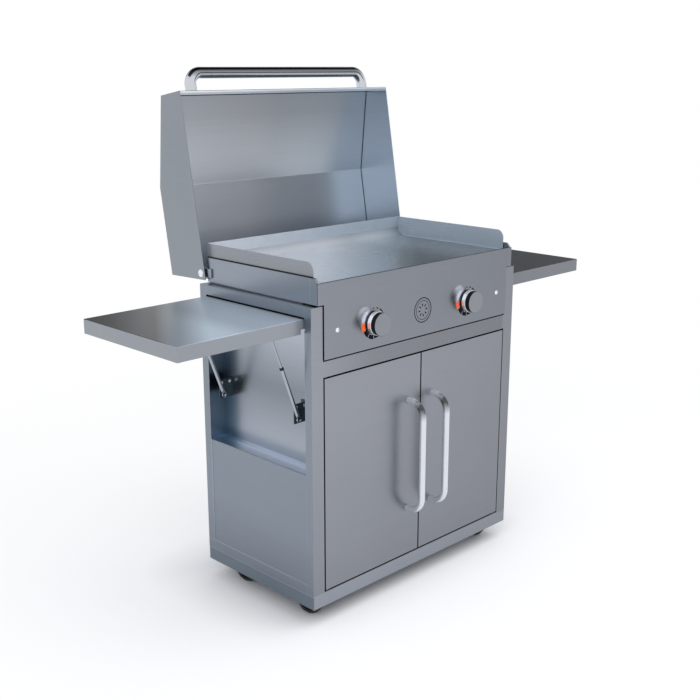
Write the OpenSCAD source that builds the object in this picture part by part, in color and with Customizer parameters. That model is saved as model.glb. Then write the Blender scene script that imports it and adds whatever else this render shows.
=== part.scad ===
// Outdoor gas griddle station: a flat griddle top with a raised lid on a two-door cart,
// with two fold-down side shelves and four swivel casters. Millimetres, +Z up, front towards -Y.

/* [Cart] */
// Width of the cart body
cart_w = 780; // [770:5:860]
// Depth of the cart body
cart_d = 423; // [415:1:480]
// Height of the cart body from the skirt's lower edge to its top
cart_h = 775; // [765:5:820]
// Height of the skirt's lower edge above the floor
floor_gap = 51; // [48:1:60]
// Height of the skirt round the base
skirt_h = 36; // [34:1:44]
// Thickness of the cart's sheet steel
sheet = 1.5; // [1:0.1:2]
// Width of the front posts beside the doors
post_w = 38; // [34:1:50]
// Height of the rail between the doors and the control panel
rail_h = 40; // [34:1:50]
// Depth of the folded edges of the front frame
frame_return = 20; // [16:0.5:20.5]
// Height of the control panel's opening below the cart's top
panel_opening_h = 135; // [132:1:145]

/* [Doors] */
// Gap round each door
door_gap = 3; // [2.5:0.1:4]
// Thickness of a door
door_t = 18; // [17:0.5:18]
// Distance of the hinge pin from the door's hinge edge
door_pin_in = 10; // [9:0.5:11]
// Depth of the hinge pin behind the door's face
door_pin_deep = 7; // [6:0.5:8]
// Diameter of the hinge pins
door_pin_d = 6; // [5:0.5:7]
// Diameter of a door handle's tube
handle_d = 18; // [16:1:20]
// Distance between the middles of a door handle's two ends
handle_span = 303; // [240:1:340]
// Distance of the handle's bar from the door's face
handle_out = 51; // [45:1:60]
// Distance of each handle from the gap between the doors
handle_x = 46.5; // [40:0.5:60]
// Height of the handles' middle above the middle of the doors
handle_up = 6.5; // [0:0.5:40]
// Bend radius of a handle's middle line
handle_bend = 40; // [28:1:42]

/* [Side shelves] */
// How far a shelf stands out from the cart's side
shelf_out = 362; // [300:1:366]
// Depth of the shelf's rim
shelf_rim = 36; // [33:1:37]
// Thickness of the shelf's sheet
shelf_sheet = 2; // [1.5:0.1:2.5]
// Distance of the shelf's top below the cart's top
shelf_drop = 29; // [27:1:32]
// Strip of side panel in front of and behind the shelf's recess
recess_margin = 24.5; // [24:0.5:30]
// Distance of the recess's floor below the cart's top
recess_down = 420; // [417:1:445]
// Depth of the recess in the cart's side
recess_depth = 51; // [49:1:52]
// Fall of the recess's floor towards the middle of the cart
ledge_fall = 6; // [0:0.5:8]
// Gap between shelf and recess at each end
shelf_gap = 3; // [2.5:0.1:4]
// Width of the folded lip under the shelf's rim
shelf_lip = 8; // [6:0.5:10]

/* [Shelf struts] */
// Distance of each strut from the cart's front or back
strut_in = 65.5; // [60:0.5:80]
// Outside diameter of a strut's tube
strut_tube_d = 9.6; // [9:0.1:11]
// Diameter of a strut's rod
strut_rod_d = 5.6; // [5:0.1:6]
// Length of a strut's tube from its pivot
strut_tube_len = 153; // [130:1:154]
// Length of a strut's rod from its eye
strut_rod_len = 148; // [135:1:150]

/* [Griddle] */
// Distance of the griddle body's sides from the cart's sides
body_side = 20; // [19:0.5:23]
// Height of the griddle body's upper edge above the cart's top
body_h = 67; // [63:1:72]
// Gap between the griddle body and the cart's top
body_gap = 3.5; // [3:0.1:5]
// Thickness of the griddle plate
plate_t = 6; // [5:0.5:8]
// Depth of the griddle plate's surface below the body's upper edge
plate_drop = 20; // [18:1:22]
// Height of the splash guard above the body's sides
splash_h = 35; // [30:0.5:40]
// Corner radius of the splash guard's front ends
splash_r = 22; // [18:1:26]
// Height of the control panel's upper edge above the cart's top
panel_rise = 55.5; // [53:0.5:57]
// How far the control panel stands in front of the cart's face
panel_proud = 3; // [2.5:0.1:4]
// Depth of the burner box below the cart's top
tub_depth = 120; // [116:1:124]

/* [Controls] */
// Distance of each knob from the cart's side
knob_in = 209; // [200:1:220]
// Height of the knobs above the control panel's lower edge
knob_up = 64.5; // [60:0.5:66]
// Diameter of a knob
knob_d = 60; // [50:1:62]
// Distance of a knob's face from the panel
knob_out = 30.5; // [29:0.5:34]
// How far a knob is pushed in before it turns
knob_push = 4; // [3:0.5:4]
// Distance of the panel's screws from the cart's sides
screw_in = 82; // [78:1:90]
// Height of the panel's screws above the control panel's lower edge
screw_up = 68; // [60:0.5:75]

/* [Lid] */
// How far the lid's end caps stand out past the griddle body's sides
lid_past = 10; // [9:0.5:12]
// Height of the lid's pivot above the cart's top
pivot_up = 24.4; // [24:0.1:26]
// Distance of the lid's pivot behind the cart's back face
pivot_back = 7; // [6:0.5:10]
// Reach of the closed lid in front of its pivot
lid_reach = 463.6; // [460:0.1:480]
// Height of the closed lid's crown above its pivot
lid_crown = 129; // [124:0.5:140]
// Distance of the crown's front edge in front of the pivot
lid_knee = 232; // [220:1:250]
// Height of the front wall's upper edge above the pivot
lid_front_up = 68; // [66:0.5:76]
// Drop of the lid's lower edge below the pivot
lid_skirt = 15.4; // [13:0.2:16]
// How far the lid stands open
lid_open = 99.5; // [90:0.5:99.5]
// Diameter of the lid handle's tube
bar_d = 30; // [25:1:32]
// Distance of each post of the lid handle from the lid's end
bar_in = 65; // [50:1:100]
// Distance of the lid handle's bar from the lid
bar_out = 50; // [45:1:60]
// Bend radius of the lid handle's middle line
bar_bend = 33; // [28:1:36]

/* [Casters] */
// Diameter of a caster's wheel
wheel_d = 70; // [62:1:70]
// Width of a caster's wheel
wheel_w = 28; // [22:1:30]
// Distance of the wheel's axle from the swivel's axis
caster_trail = 14; // [12:1:18]
// Distance of each caster from the cart's side
caster_in = 54; // [54:1:90]
// Distance of each caster from the cart's front or back
caster_from_end = 85.5; // [76.5:0.5:101.5]
// Direction in which the casters trail, counted from the left towards the front
caster_turn = 105; // [0:1:180]

/* [Hidden] */
$fn = 96;
// One overrun for every cut, and the clearances of turning, sliding and resting pieces
overrun = 2;
turn_clear = 0.05;
slide_clear = 0.3;
rest_gap = 0.4;

// The cart's box and the openings in its front
half_w = cart_w / 2;
mid_d = cart_d / 2;
inner_x = half_w - sheet;
inner_back = cart_d - sheet;
top_t = 2;
frame_top = cart_h - top_t;
skirt_flange = 20;
frame_open_x = half_w - post_w;
frame_sill = 2;
panel_open_z = cart_h - panel_opening_h;
door_open_top = panel_open_z - rail_h;
door_open_low = skirt_h + frame_sill;
top_open_side = 56;
top_open_x = half_w - top_open_side;
top_open_in = 13;
top_open_back = 14;

// The doors and their hinges
door_low = door_open_low + door_gap;
door_top = door_open_top - door_gap;
door_out_x = frame_open_x - door_gap;
door_in_x = door_gap / 2;
door_pin_x = door_out_x - door_pin_in;
handle_z = (door_low + door_top) / 2 + handle_up;
door_lip = 20;
hinge_block_h = 12;
hinge_head_d = 10;
hinge_head_h = 2.5;
magnet_w = 30;
magnet_h = 14;
magnet_d = 12;
magnet_foot = 2.5;
magnet_foot_d = 12;
magnet_x = 32;

// The recesses in the sides
recess_floor = cart_h - recess_down;
liner_x = half_w - recess_depth;
recess_front = recess_margin;
recess_back = cart_d - recess_margin;
slot_above_shelf = 4;
shelf_top = cart_h - shelf_drop;
recess_open_top = shelf_top + slot_above_shelf;
recess_headroom = 14;
recess_roof = shelf_top + recess_headroom;
panel_inset = 2;
inset_low = 62;
inset_x = half_w - panel_inset;
inset_top = recess_floor - sheet - ledge_fall * (panel_inset + sheet) / recess_depth;

// The shelves and their hinges
shelf_axis_down = 8;
shelf_axis_in = 10;
shelf_root = 6;
shelf_axis_x = half_w - shelf_axis_in;
shelf_axis_z = shelf_top - shelf_axis_down;
shelf_root_x = shelf_axis_x - shelf_root;
shelf_end_x = half_w + shelf_out;
shelf_front = recess_front + shelf_gap;
shelf_back = recess_back - shelf_gap;
shelf_low = shelf_top - shelf_rim;
shelf_under = shelf_top - shelf_sheet;
shelf_pin_d = 6;
shelf_pin_past = 1.5;
shelf_pin_head_d = 10;
shelf_pin_head = 2.5;

// The struts, in the plane of the right-hand shelf: x outwards, z up
strut_foot_in = 17;
strut_foot_drop = 226;
strut_head_out = 75.5;
strut_head_drop = 19;
strut_foot_x = half_w - strut_foot_in;
strut_foot_z = shelf_top - shelf_rim - strut_foot_drop;
strut_dx = strut_foot_in + strut_head_out;
strut_dz = shelf_rim + strut_foot_drop - strut_head_drop;
strut_len = sqrt(strut_dx * strut_dx + strut_dz * strut_dz);
strut_lean = atan2(strut_dx, strut_dz);
strut_eye_t = 5;
strut_foot_r = 7;
strut_head_r = 5.5;
strut_pin_d = 5;
strut_collar = 5;
strut_collar_wall = 0.6;
strut_flat = 12.5;
strut_bore_start = 14;
bracket_w = 44.5;
bracket_foot = 22;
bracket_high = 40;
bracket_low = 10;
bracket_t = 2.5;
bracket_hole_d = 5.5;
bracket_hole_in = 8;
bracket_screw_d = 7;
bracket_screw_h = 1.5;
stud_head_d = 9;
stud_head = 1.5;
ear_t = 3;
lug_w = 13;
lug_below = 6;
lug_gap = 0.8;

// The griddle body and its plate
body_x = half_w - body_side;
body_low = cart_h + body_gap;
body_top = cart_h + body_h;
panel_front = -panel_proud;
panel_back = panel_front + sheet;
panel_top = cart_h + panel_rise;
corner_cut_x = 6;
corner_cut_y = 9;
body_end_w = 6;
body_end_d = 19.5;
body_slope_y = 10.5;
foot_in = 8;
foot_w = 12;
foot_x = body_x - foot_in;
foot_back = cart_d - foot_in;
rail_in = 20;
rail_t = 3;
rail_start = 42;
plate_top = body_top - plate_drop;
plate_low = plate_top - plate_t;
plate_front = 25;
splash_in = 6.5;
splash_x = body_x - splash_in;
splash_back = cart_d - sheet;
splash_front = 20;
splash_top = body_top + splash_h;

// The burner box, the gutter and the grease cup
tub_in = 40;
tub_x = body_x - tub_in;
tub_front = 60;
tub_rear = 18;
tub_back = cart_d - tub_rear;
tub_low = cart_h - tub_depth;
gutter_front = 2;
gutter_back = 30;
gutter_deep = 19;
gutter_low = plate_low - gutter_deep;
drain_in = 62;
drain_x = drain_in - tub_x;
drain_y = 20;
drain_d = 18;
drain_wall = 1.5;
drain_stop_y = 45;
drain_drop = 12;
cup_d = 90;
cup_h = 58;
cup_y = 76;
cup_rim = 8;
cup_hang = 14;
cup_rail_lip = 7;
cup_rim_z = tub_low - cup_hang + sheet;

// The controls
panel_low = panel_open_z + door_gap;
panel_side_gap = 1.5;
panel_lower_x = frame_open_x - panel_side_gap;
panel_past = 1.5;
panel_upper_x = body_x + panel_past;
panel_return = 12;
panel_return_top = cart_h - top_t - door_gap;
knob_x = half_w - knob_in;
knob_z = panel_low + knob_up;
knob_gap = 5;
knob_face_y = panel_front - knob_out;
knob_band = 11;
knob_groove_depth = 0.8;
knob_cap = 3;
knob_cap_in = 2;
knob_hub_d = 16;
knob_hollow_wall = 3;
knob_hollow = 8;
stem_d = 8;
stem_hole_d = 13;
stem_in_knob = 18;
valve_flange_w = 36;
valve_flange_h = 20;
valve_flange_t = 3;
valve_neck_d = 16;
valve_front = 14;
valve_back = 46;
valve_w = 24;
valve_up = 12;
valve_down = 17.5;
plunger_d = 14;
plunger_len = 8;
plunger_y = 24;
plunger_room = 1;
spud_d = 12;
spud_bore = 3;
spud_past = 10;
manifold_d = 20;
manifold_y = 32;
manifold_drop = 12.5;
manifold_past = 34;
manifold_wall = 2;
manifold_pad = 26;
inlet_past = 69;
inlet_end = 20;
inlet_x = knob_x + inlet_past;
inlet_below = 15;
inlet_z = tub_low - inlet_below;
inlet_d = 16;
inlet_thread = 20;
inlet_shoulder_d = 22;
inlet_shoulder_h = 2;
burner_d = 38;
burner_wall = 1.5;
burner_front = 66;
burner_end_gap = 20;
burner_foot_w = 24;
burner_foot_t = 3;
burner_foot_in = 25;
port_d = 3.2;
port_count = 10;
port_start = 60;
port_turn = 35;
igniter_x = 30;
igniter_d = 6;
igniter_tip_d = 2;
igniter_in = 14;
igniter_out = 30;
igniter_tip = 10;
screw_x = half_w - screw_in;
screw_z = panel_low + screw_up;
screw_d = 12;
screw_h = 3;
screw_shank_d = 5;
screw_shank = 8;

// The lid: its outline is drawn closed, from the pivot
pivot_y = cart_d + pivot_back;
pivot_z = cart_h + pivot_up;
cap_x = body_x + lid_past;
shell_x = cap_x - sheet;
bar_span = 2 * (cap_x - bar_in);
lid_back_lean = 19;
lid_lip = 11;
lid_back_share = 0.87;
bar_up = 23;
bar_wall = 2;
lid_pin_d = 10;
lid_pin_head_d = 20;
lid_pin_head = 3.5;
lid_ear_t = 4;
lid_ear_front = 35;
lid_ear_back = 12;
lid_ear_up = 14;
lid_ear_down = 9;

// The casters
caster_x = half_w - caster_in;
caster_y = mid_d - caster_from_end;
caster_plate_w = 62;
caster_plate_d = 52;
caster_plate_t = 2.5;
race_d = 38;
race_h = 8;
king_d = 10;
fork_top_w = 30;
fork_top_t = 2.5;
fork_t = 2.5;
fork_gap = 0.6;
fork_foot_r = 9;
axle_d = 8;
axle_head_d = 13;
axle_head = 1.5;
hub_d = 34;
hub_recess = 3;
tread_round = 4;
race_low = skirt_h - caster_plate_t - race_h;
fork_top_z = race_low - rest_gap;
axle_z = wheel_d / 2 - floor_gap;

// Place of the whole object: the middle of its depth lies over the origin
handle_reach = handle_out + handle_d / 2;
lid_back_reach = pivot_y - lid_knee * cos(lid_open) + lid_crown * sin(lid_open);
mid_y = (lid_back_reach - handle_reach) / 2;

STEEL = [0.60, 0.62, 0.65];
STEEL_LIGHT = [0.68, 0.70, 0.73];
STEEL_DARK = [0.42, 0.44, 0.47];
CHROME = [0.80, 0.81, 0.83];
BLACK = [0.05, 0.05, 0.06];
BRACKET_BLACK = [0.14, 0.20, 0.23];
BRASS = [0.70, 0.56, 0.28];
CERAMIC = [0.88, 0.87, 0.84];

// Box between two corners given as plain coordinates
module block(x0, x1, y0, y1, z0, z1) {
    translate([x0, y0, z0]) cube([x1 - x0, y1 - y0, z1 - z0]);
}

// Box that reaches equally far to both sides
module wide_block(x, y0, y1, z0, z1) {
    block(-x, x, y0, y1, z0, z1);
}

// Cart coordinates: x from the middle, y from the front face, z from the skirt's lower edge
module in_cart() {
    translate([0, -mid_y, floor_gap]) children();
}

module both_sides() {
    children();
    mirror([1, 0, 0]) children();
}

// What is drawn for the right-hand side, on the side of the given sign
module on_side(sx) {
    if (sx > 0) children();
    else mirror([1, 0, 0]) children();
}

// What is drawn for the front, on the front or the rear of the cart
module on_end(sy) {
    if (sy < 0) children();
    else translate([0, cart_d, 0]) mirror([0, 1, 0]) children();
}

module both_ends() {
    on_end(-1) children();
    on_end(1) children();
}

// Round bars along each axis
module bar_x(x0, x1, y, z, d) {
    translate([x0, y, z]) rotate([0, 90, 0]) cylinder(d = d, h = x1 - x0);
}

module bar_y(x, y0, y1, z, d) {
    translate([x, y0, z]) rotate([-90, 0, 0]) cylinder(d = d, h = y1 - y0);
}

module bar_z(x, y, z0, z1, d) {
    translate([x, y, z0]) cylinder(d = d, h = z1 - z0);
}

// An outline in y and z, drawn out along x
module profile_x(x0, x1, outline) {
    translate([x0, 0, 0]) rotate([90, 0, 90]) linear_extrude(height = x1 - x0) polygon(outline);
}

// An outline in x and z, drawn out along y
module profile_y(y0, y1, outline) {
    translate([0, y1, 0]) rotate([90, 0, 0]) linear_extrude(height = y1 - y0) polygon(outline);
}

// Round bar bent into a handle: its feet stand on z = 0, and its bar runs along x
module bent_bar(span, out, d, bend) {
    bar_half = span / 2;
    both_sides() {
        translate([bar_half, 0, 0]) cylinder(d = d, h = out - bend);
        translate([bar_half - bend, 0, out - bend]) rotate([90, 0, 0])
            rotate_extrude(angle = 90) translate([bend, 0]) circle(d = d);
    }
    bar_x(bend - bar_half, bar_half - bend, 0, out, d);
}

// Sheet ring: a rectangle round the middle of the cart with a rectangular opening
module ring(x, y0, y1, open_x, open_y0, open_y1, z0, z1) {
    difference() {
        wide_block(x, y0, y1, z0, z1);
        wide_block(open_x, open_y0, open_y1, z0 - overrun, z1 + overrun);
    }
}

module base_skirt() {
    color(STEEL) in_cart() {
        ring(half_w, 0, cart_d, inner_x, sheet, inner_back, 0, skirt_h);
        ring(inner_x, sheet, inner_back, inner_x - skirt_flange, skirt_flange,
            cart_d - skirt_flange, skirt_h - sheet, skirt_h);
    }
}

module cabinet_floor() {
    color(STEEL_DARK) in_cart() difference() {
        wide_block(inner_x, sheet, inner_back, skirt_h, skirt_h + sheet);
        both_sides()
            bar_z(door_pin_x, door_pin_deep, skirt_h - overrun, door_low, door_pin_d + 2 * turn_clear);
    }
}

// Posts, rail and the strips beside the control panel, folded back round both openings
module front_frame() {
    color(STEEL) in_cart() {
        difference() {
            wide_block(half_w, 0, sheet, skirt_h, frame_top);
            wide_block(frame_open_x, -overrun, sheet + overrun, door_open_low, door_open_top);
            wide_block(frame_open_x, -overrun, sheet + overrun, panel_open_z, cart_h);
        }
        difference() {
            wide_block(frame_open_x, sheet, frame_return, door_open_top, door_open_top + sheet);
            both_sides() bar_z(door_pin_x, door_pin_deep, door_top, panel_open_z,
                door_pin_d + 2 * turn_clear);
        }
        wide_block(frame_open_x, sheet, frame_return, panel_open_z - sheet, panel_open_z);
        both_sides() {
            block(frame_open_x, frame_open_x + sheet, sheet, frame_return, door_open_low,
                door_open_top + sheet);
            block(frame_open_x, frame_open_x + sheet, sheet, frame_return, panel_open_z - sheet,
                frame_top);
        }
    }
}

module back_panel() {
    color(STEEL) in_cart() difference() {
        wide_block(inner_x, inner_back, cart_d, skirt_h, frame_top);
        bar_y(inlet_x, inner_back - overrun, cart_d + overrun, inlet_z, inlet_d + 2 * slide_clear);
    }
}

// Side sheet with the recess's opening above an inset lower panel
module side_panel(sx) {
    color(STEEL) in_cart() on_side(sx) {
        difference() {
            block(inner_x, half_w, sheet, cart_d, skirt_h, frame_top);
            block(inner_x - overrun, half_w + overrun, recess_front, recess_back, inset_low,
                recess_open_top);
        }
        block(inset_x - sheet, inset_x, recess_front, recess_back, inset_low, inset_top);
        block(inset_x - sheet, inner_x, recess_front - sheet, recess_back + sheet,
            inset_low - sheet, inset_low);
        both_ends() block(inset_x - sheet, inner_x, recess_front - sheet, recess_front,
            inset_low - sheet, inset_top);
    }
}

// The pan that the folded shelf hangs in, open to the side, with a sloping floor
module recess_liner(sx) {
    floor_in = recess_floor - ledge_fall;
    back_x = liner_x - sheet;
    color(STEEL) in_cart() on_side(sx) difference() {
        profile_y(recess_front - sheet, recess_back + sheet, [
            [back_x, floor_in - sheet],
            [inner_x, recess_floor - sheet],
            [inner_x, recess_roof + sheet],
            [back_x, recess_roof + sheet]
        ]);
        profile_y(recess_front, recess_back, [
            [liner_x, floor_in],
            [inner_x + overrun, recess_floor],
            [inner_x + overrun, recess_roof],
            [liner_x, recess_roof]
        ]);
        both_ends() bar_y(shelf_axis_x, 0, shelf_front, shelf_axis_z, shelf_pin_d + 2 * turn_clear);
    }
}

module cart_top_frame() {
    color(STEEL) in_cart()
        ring(half_w, 0, cart_d, top_open_x, top_open_in, cart_d - top_open_back, frame_top, cart_h);
}

module shelf_hinge_pins() {
    head_y = recess_front - sheet - shelf_pin_head;
    color(STEEL_DARK) in_cart() both_sides() both_ends() {
        bar_y(shelf_axis_x, head_y, shelf_front + shelf_sheet + shelf_pin_past, shelf_axis_z,
            shelf_pin_d);
        bar_y(shelf_axis_x, head_y, recess_front - sheet, shelf_axis_z, shelf_pin_head_d);
    }
}

// Foot bracket of a strut at the given depth: an angle on the recess's back, standing behind the
// strut, with the stud that the strut turns on
module strut_bracket(at_y) {
    eye_y = at_y - strut_eye_t / 2;
    plate_y = at_y + strut_tube_d / 2 + lug_gap;
    plate_x = liner_x + bracket_w;
    top_z = strut_foot_z + bracket_high;
    low_z = strut_foot_z - bracket_low;
    difference() {
        block(liner_x, plate_x, plate_y, plate_y + bracket_t, low_z, top_z);
        for (x = [liner_x + bracket_t + bracket_hole_in, plate_x - bracket_hole_in])
            bar_y(x, plate_y - overrun, plate_y + bracket_t + overrun, top_z - bracket_hole_in,
                bracket_hole_d);
    }
    block(liner_x, liner_x + bracket_t, plate_y + bracket_t, plate_y + bracket_foot, low_z, top_z);
    for (z = [low_z + bracket_hole_in, top_z - bracket_hole_in])
        bar_x(liner_x + bracket_t, liner_x + bracket_t + bracket_screw_h,
            plate_y + bracket_foot - bracket_hole_in, z, bracket_screw_d);
    bar_y(strut_foot_x, eye_y - rest_gap, plate_y, strut_foot_z, strut_pin_d);
    bar_y(strut_foot_x, eye_y - rest_gap - stud_head, eye_y - rest_gap, strut_foot_z, stud_head_d);
}

module strut_brackets() {
    color(BRACKET_BLACK) in_cart() both_sides() {
        strut_bracket(strut_in);
        strut_bracket(cart_d - strut_in);
    }
}

module caster_plates() {
    for (sx = [-1, 1], sy = [-1, 1])
        color(STEEL_DARK) in_cart() translate([sx * caster_x, mid_d + sy * caster_y, 0]) difference() {
            union() {
                block(-caster_plate_w / 2, caster_plate_w / 2, -caster_plate_d / 2, caster_plate_d / 2,
                    skirt_h - caster_plate_t, skirt_h);
                bar_z(0, 0, race_low, skirt_h - caster_plate_t, race_d);
            }
            bar_z(0, 0, race_low - overrun, skirt_h - caster_plate_t, king_d + 2 * turn_clear);
        }
}

module door_hinge_pins() {
    color(STEEL_DARK) in_cart() both_sides() {
        bar_z(door_pin_x, door_pin_deep, skirt_h, door_low + hinge_block_h, door_pin_d);
        bar_z(door_pin_x, door_pin_deep, skirt_h + sheet, skirt_h + sheet + hinge_head_h, hinge_head_d);
        bar_z(door_pin_x, door_pin_deep, door_top - hinge_block_h, door_open_top + sheet, door_pin_d);
        bar_z(door_pin_x, door_pin_deep, door_open_top + sheet, door_open_top + sheet + hinge_head_h,
            hinge_head_d);
    }
}

// Magnetic catches: a foot under the rail and a block behind the door's upper edge
module door_magnets() {
    magnet_y = door_t + rest_gap;
    color(BLACK) in_cart() both_sides() {
        block(magnet_x - magnet_w / 2, magnet_x + magnet_w / 2, magnet_y, magnet_y + magnet_d,
            door_open_top - magnet_h, door_open_top);
        block(magnet_x - magnet_w / 2, magnet_x + magnet_w / 2, magnet_y - magnet_foot_d, magnet_y,
            door_open_top - magnet_foot, door_open_top);
    }
}

module control_panel() {
    color(STEEL_LIGHT) in_cart() difference() {
        union() {
            wide_block(panel_lower_x, panel_front, panel_back, panel_low, body_low);
            wide_block(panel_upper_x, panel_front, panel_back, body_low, panel_top);
            wide_block(body_x - body_end_w, panel_back, gutter_front, panel_top - sheet, panel_top);
            wide_block(panel_lower_x, panel_back, panel_back + panel_return, panel_low,
                panel_low + sheet);
            both_sides() block(panel_lower_x - sheet, panel_lower_x, panel_back,
                panel_back + panel_return, panel_low, panel_return_top);
        }
        both_sides() {
            bar_y(knob_x, panel_front - overrun, panel_back + overrun, knob_z, stem_hole_d);
            bar_y(screw_x, panel_front - overrun, panel_back + overrun, screw_z,
                screw_shank_d + 2 * turn_clear);
        }
    }
}

// Domed screws at the ends of the control panel
module panel_screws() {
    dome_r = (screw_d * screw_d / 4 + screw_h * screw_h) / (2 * screw_h);
    color(CHROME) in_cart() both_sides() {
        intersection() {
            translate([screw_x, panel_front + dome_r - screw_h, screw_z]) sphere(r = dome_r);
            block(screw_x - screw_d, screw_x + screw_d, panel_front - screw_d, panel_front,
                screw_z - screw_d, screw_z + screw_d);
        }
        bar_y(screw_x, panel_front, panel_front + screw_shank, screw_z, screw_shank_d);
    }
}

// The box that the burners lie in, hung by its flange on the cart's top, with the cup's rails below
module firebox() {
    rail_x = cup_d / 2 + cup_rim + slide_clear;
    rail_back = cup_y + cup_d / 2;
    color(STEEL_DARK) in_cart() {
        difference() {
            union() {
                wide_block(tub_x, tub_front, tub_back, tub_low, cart_h);
                wide_block(foot_x, tub_front, foot_back, cart_h, cart_h + sheet);
            }
            wide_block(tub_x - sheet, tub_front + sheet, tub_back - sheet, tub_low + sheet,
                body_low + overrun);
            both_sides() {
                bar_y(knob_x, tub_front - overrun, tub_front + 2 * sheet, knob_z, spud_d + overrun);
                bar_y(knob_x + igniter_x, tub_front - overrun, tub_front + 2 * sheet, knob_z,
                    igniter_d + 2 * turn_clear);
            }
        }
        translate([drain_x, 0, 0]) both_sides() {
            block(rail_x, rail_x + sheet, tub_front, rail_back, tub_low - cup_hang, tub_low);
            block(rail_x - cup_rail_lip, rail_x, tub_front, rail_back, tub_low - cup_hang,
                tub_low - cup_hang + sheet);
        }
    }
}

// Outline of the griddle body seen from above, moved in by one wall
function body_outline(wall) = [
    [-body_x + wall, panel_back],
    [body_x - wall, panel_back],
    [body_x - wall, cart_d - corner_cut_y],
    [body_x - corner_cut_x, cart_d - wall],
    [corner_cut_x - body_x, cart_d - wall],
    [-body_x + wall, cart_d - corner_cut_y]
];

module body_end_cap() {
    profile_x(body_x - body_end_w, body_x, [
        [panel_back, body_low],
        [panel_back + body_end_d, body_low],
        [panel_back + body_end_d, body_top],
        [panel_back + body_slope_y, body_top],
        [panel_back, panel_top]
    ]);
}

module griddle_body() {
    ear_y = pivot_y - lid_ear_front;
    color(STEEL) in_cart() {
        difference() {
            translate([0, 0, body_low]) linear_extrude(height = body_top - body_low)
                polygon(body_outline(0));
            translate([0, 0, body_low - overrun])
                linear_extrude(height = body_top - body_low + 2 * overrun)
                    polygon(body_outline(sheet));
            wide_block(body_x + overrun, panel_back - overrun, panel_back + body_slope_y,
                body_low - overrun, body_top + overrun);
        }
        both_sides() {
            body_end_cap();
            block(foot_x - foot_w, foot_x, tub_front, foot_back, cart_h + sheet, body_low);
            block(foot_x - foot_w, body_x - sheet / 2, tub_front, cart_d - corner_cut_y, body_low,
                body_low + sheet);
            block(body_x - rail_in, body_x - rail_in + rail_t, rail_start + rail_in,
                tub_back, body_low + sheet, plate_low);
            difference() {
                block(body_x - sheet / 2, body_x + lid_ear_t, ear_y, pivot_y + lid_ear_back,
                    pivot_z - lid_ear_down, pivot_z + lid_ear_up);
                bar_x(body_x - overrun, body_x + lid_ear_t + overrun, pivot_y, pivot_z,
                    lid_pin_d + 2 * turn_clear);
            }
        }
    }
}

module griddle_plate() {
    color(STEEL_LIGHT) in_cart()
        wide_block(splash_x - sheet, plate_front, splash_back - sheet, plate_low, plate_top);
}

// Three-sided guard round the plate, with rounded upper corners at its front ends
module splash_guard() {
    color(STEEL_LIGHT) in_cart() {
        wide_block(splash_x, splash_back - sheet, splash_back, plate_low, splash_top);
        both_sides() {
            block(splash_x - sheet, splash_x, splash_front + splash_r, splash_back - sheet, plate_low,
                splash_top);
            block(splash_x - sheet, splash_x, splash_front, splash_front + splash_r, plate_low,
                splash_top - splash_r);
            intersection() {
                bar_x(splash_x - sheet, splash_x, splash_front + splash_r, splash_top - splash_r,
                    2 * splash_r);
                block(splash_x - sheet, splash_x, splash_front, splash_front + splash_r,
                    splash_top - splash_r, splash_top);
            }
        }
    }
}

// The sloping drain under the gutter
module drain_bar(d, past) {
    run_y = drain_stop_y - drain_y;
    run_z = gutter_low - (cup_rim_z + drain_drop);
    run = sqrt(run_y * run_y + run_z * run_z);
    translate([drain_x, drain_y, gutter_low]) rotate([atan2(run_y, run_z), 0, 0])
        translate([0, 0, -run - past]) cylinder(d = d, h = run + 2 * past);
}

module drip_gutter() {
    color(STEEL_DARK) in_cart() difference() {
        union() {
            wide_block(splash_x - sheet, gutter_front, gutter_back, gutter_low, gutter_low + sheet);
            wide_block(splash_x - sheet, gutter_front, gutter_front + sheet, gutter_low, panel_top);
            wide_block(splash_x - sheet, gutter_back - sheet, gutter_back, gutter_low, plate_low);
            both_sides() block(splash_x - 2 * sheet, splash_x - sheet, gutter_front, gutter_back,
                gutter_low, plate_low);
            difference() {
                drain_bar(drain_d, 0);
                wide_block(half_w, 0, cart_d, gutter_low, body_top);
            }
            bar_z(drain_x, drain_y, gutter_low - drain_d / 4, gutter_low, drain_d);
        }
        drain_bar(drain_d - 2 * drain_wall, overrun);
    }
}

module grease_cup() {
    color(STEEL_LIGHT) in_cart() translate([drain_x, cup_y, cup_rim_z - cup_h]) difference() {
        union() {
            cylinder(d = cup_d, h = cup_h + sheet);
            translate([0, 0, cup_h]) cylinder(d = cup_d + 2 * cup_rim, h = sheet);
        }
        translate([0, 0, sheet]) cylinder(d = cup_d - 2 * sheet, h = cup_h + overrun);
    }
}

// Two tubes with two rows of gas ports each, open in front, closed behind, on feet
module burners() {
    burner_back = tub_back - burner_end_gap;
    port_step = (burner_back - burner_front - 2 * port_start) / (port_count - 1);
    color(STEEL_DARK) in_cart() both_sides() {
        difference() {
            bar_y(knob_x, burner_front, burner_back, knob_z, burner_d);
            bar_y(knob_x, burner_front - overrun, burner_back - burner_wall, knob_z,
                burner_d - 2 * burner_wall);
            for (turn = [-port_turn, port_turn], i = [0:port_count - 1])
                translate([knob_x, burner_front + port_start + i * port_step, knob_z])
                    rotate([0, turn, 0]) cylinder(d = port_d, h = burner_d);
        }
        for (foot_y = [burner_front + burner_foot_in, burner_back - burner_foot_in])
            difference() {
                block(knob_x - burner_foot_w / 2, knob_x + burner_foot_w / 2, foot_y,
                    foot_y + burner_foot_t, tub_low + sheet, knob_z);
                bar_y(knob_x, foot_y - overrun, foot_y + burner_foot_t + overrun, knob_z,
                    burner_d - burner_wall);
            }
    }
}

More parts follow.
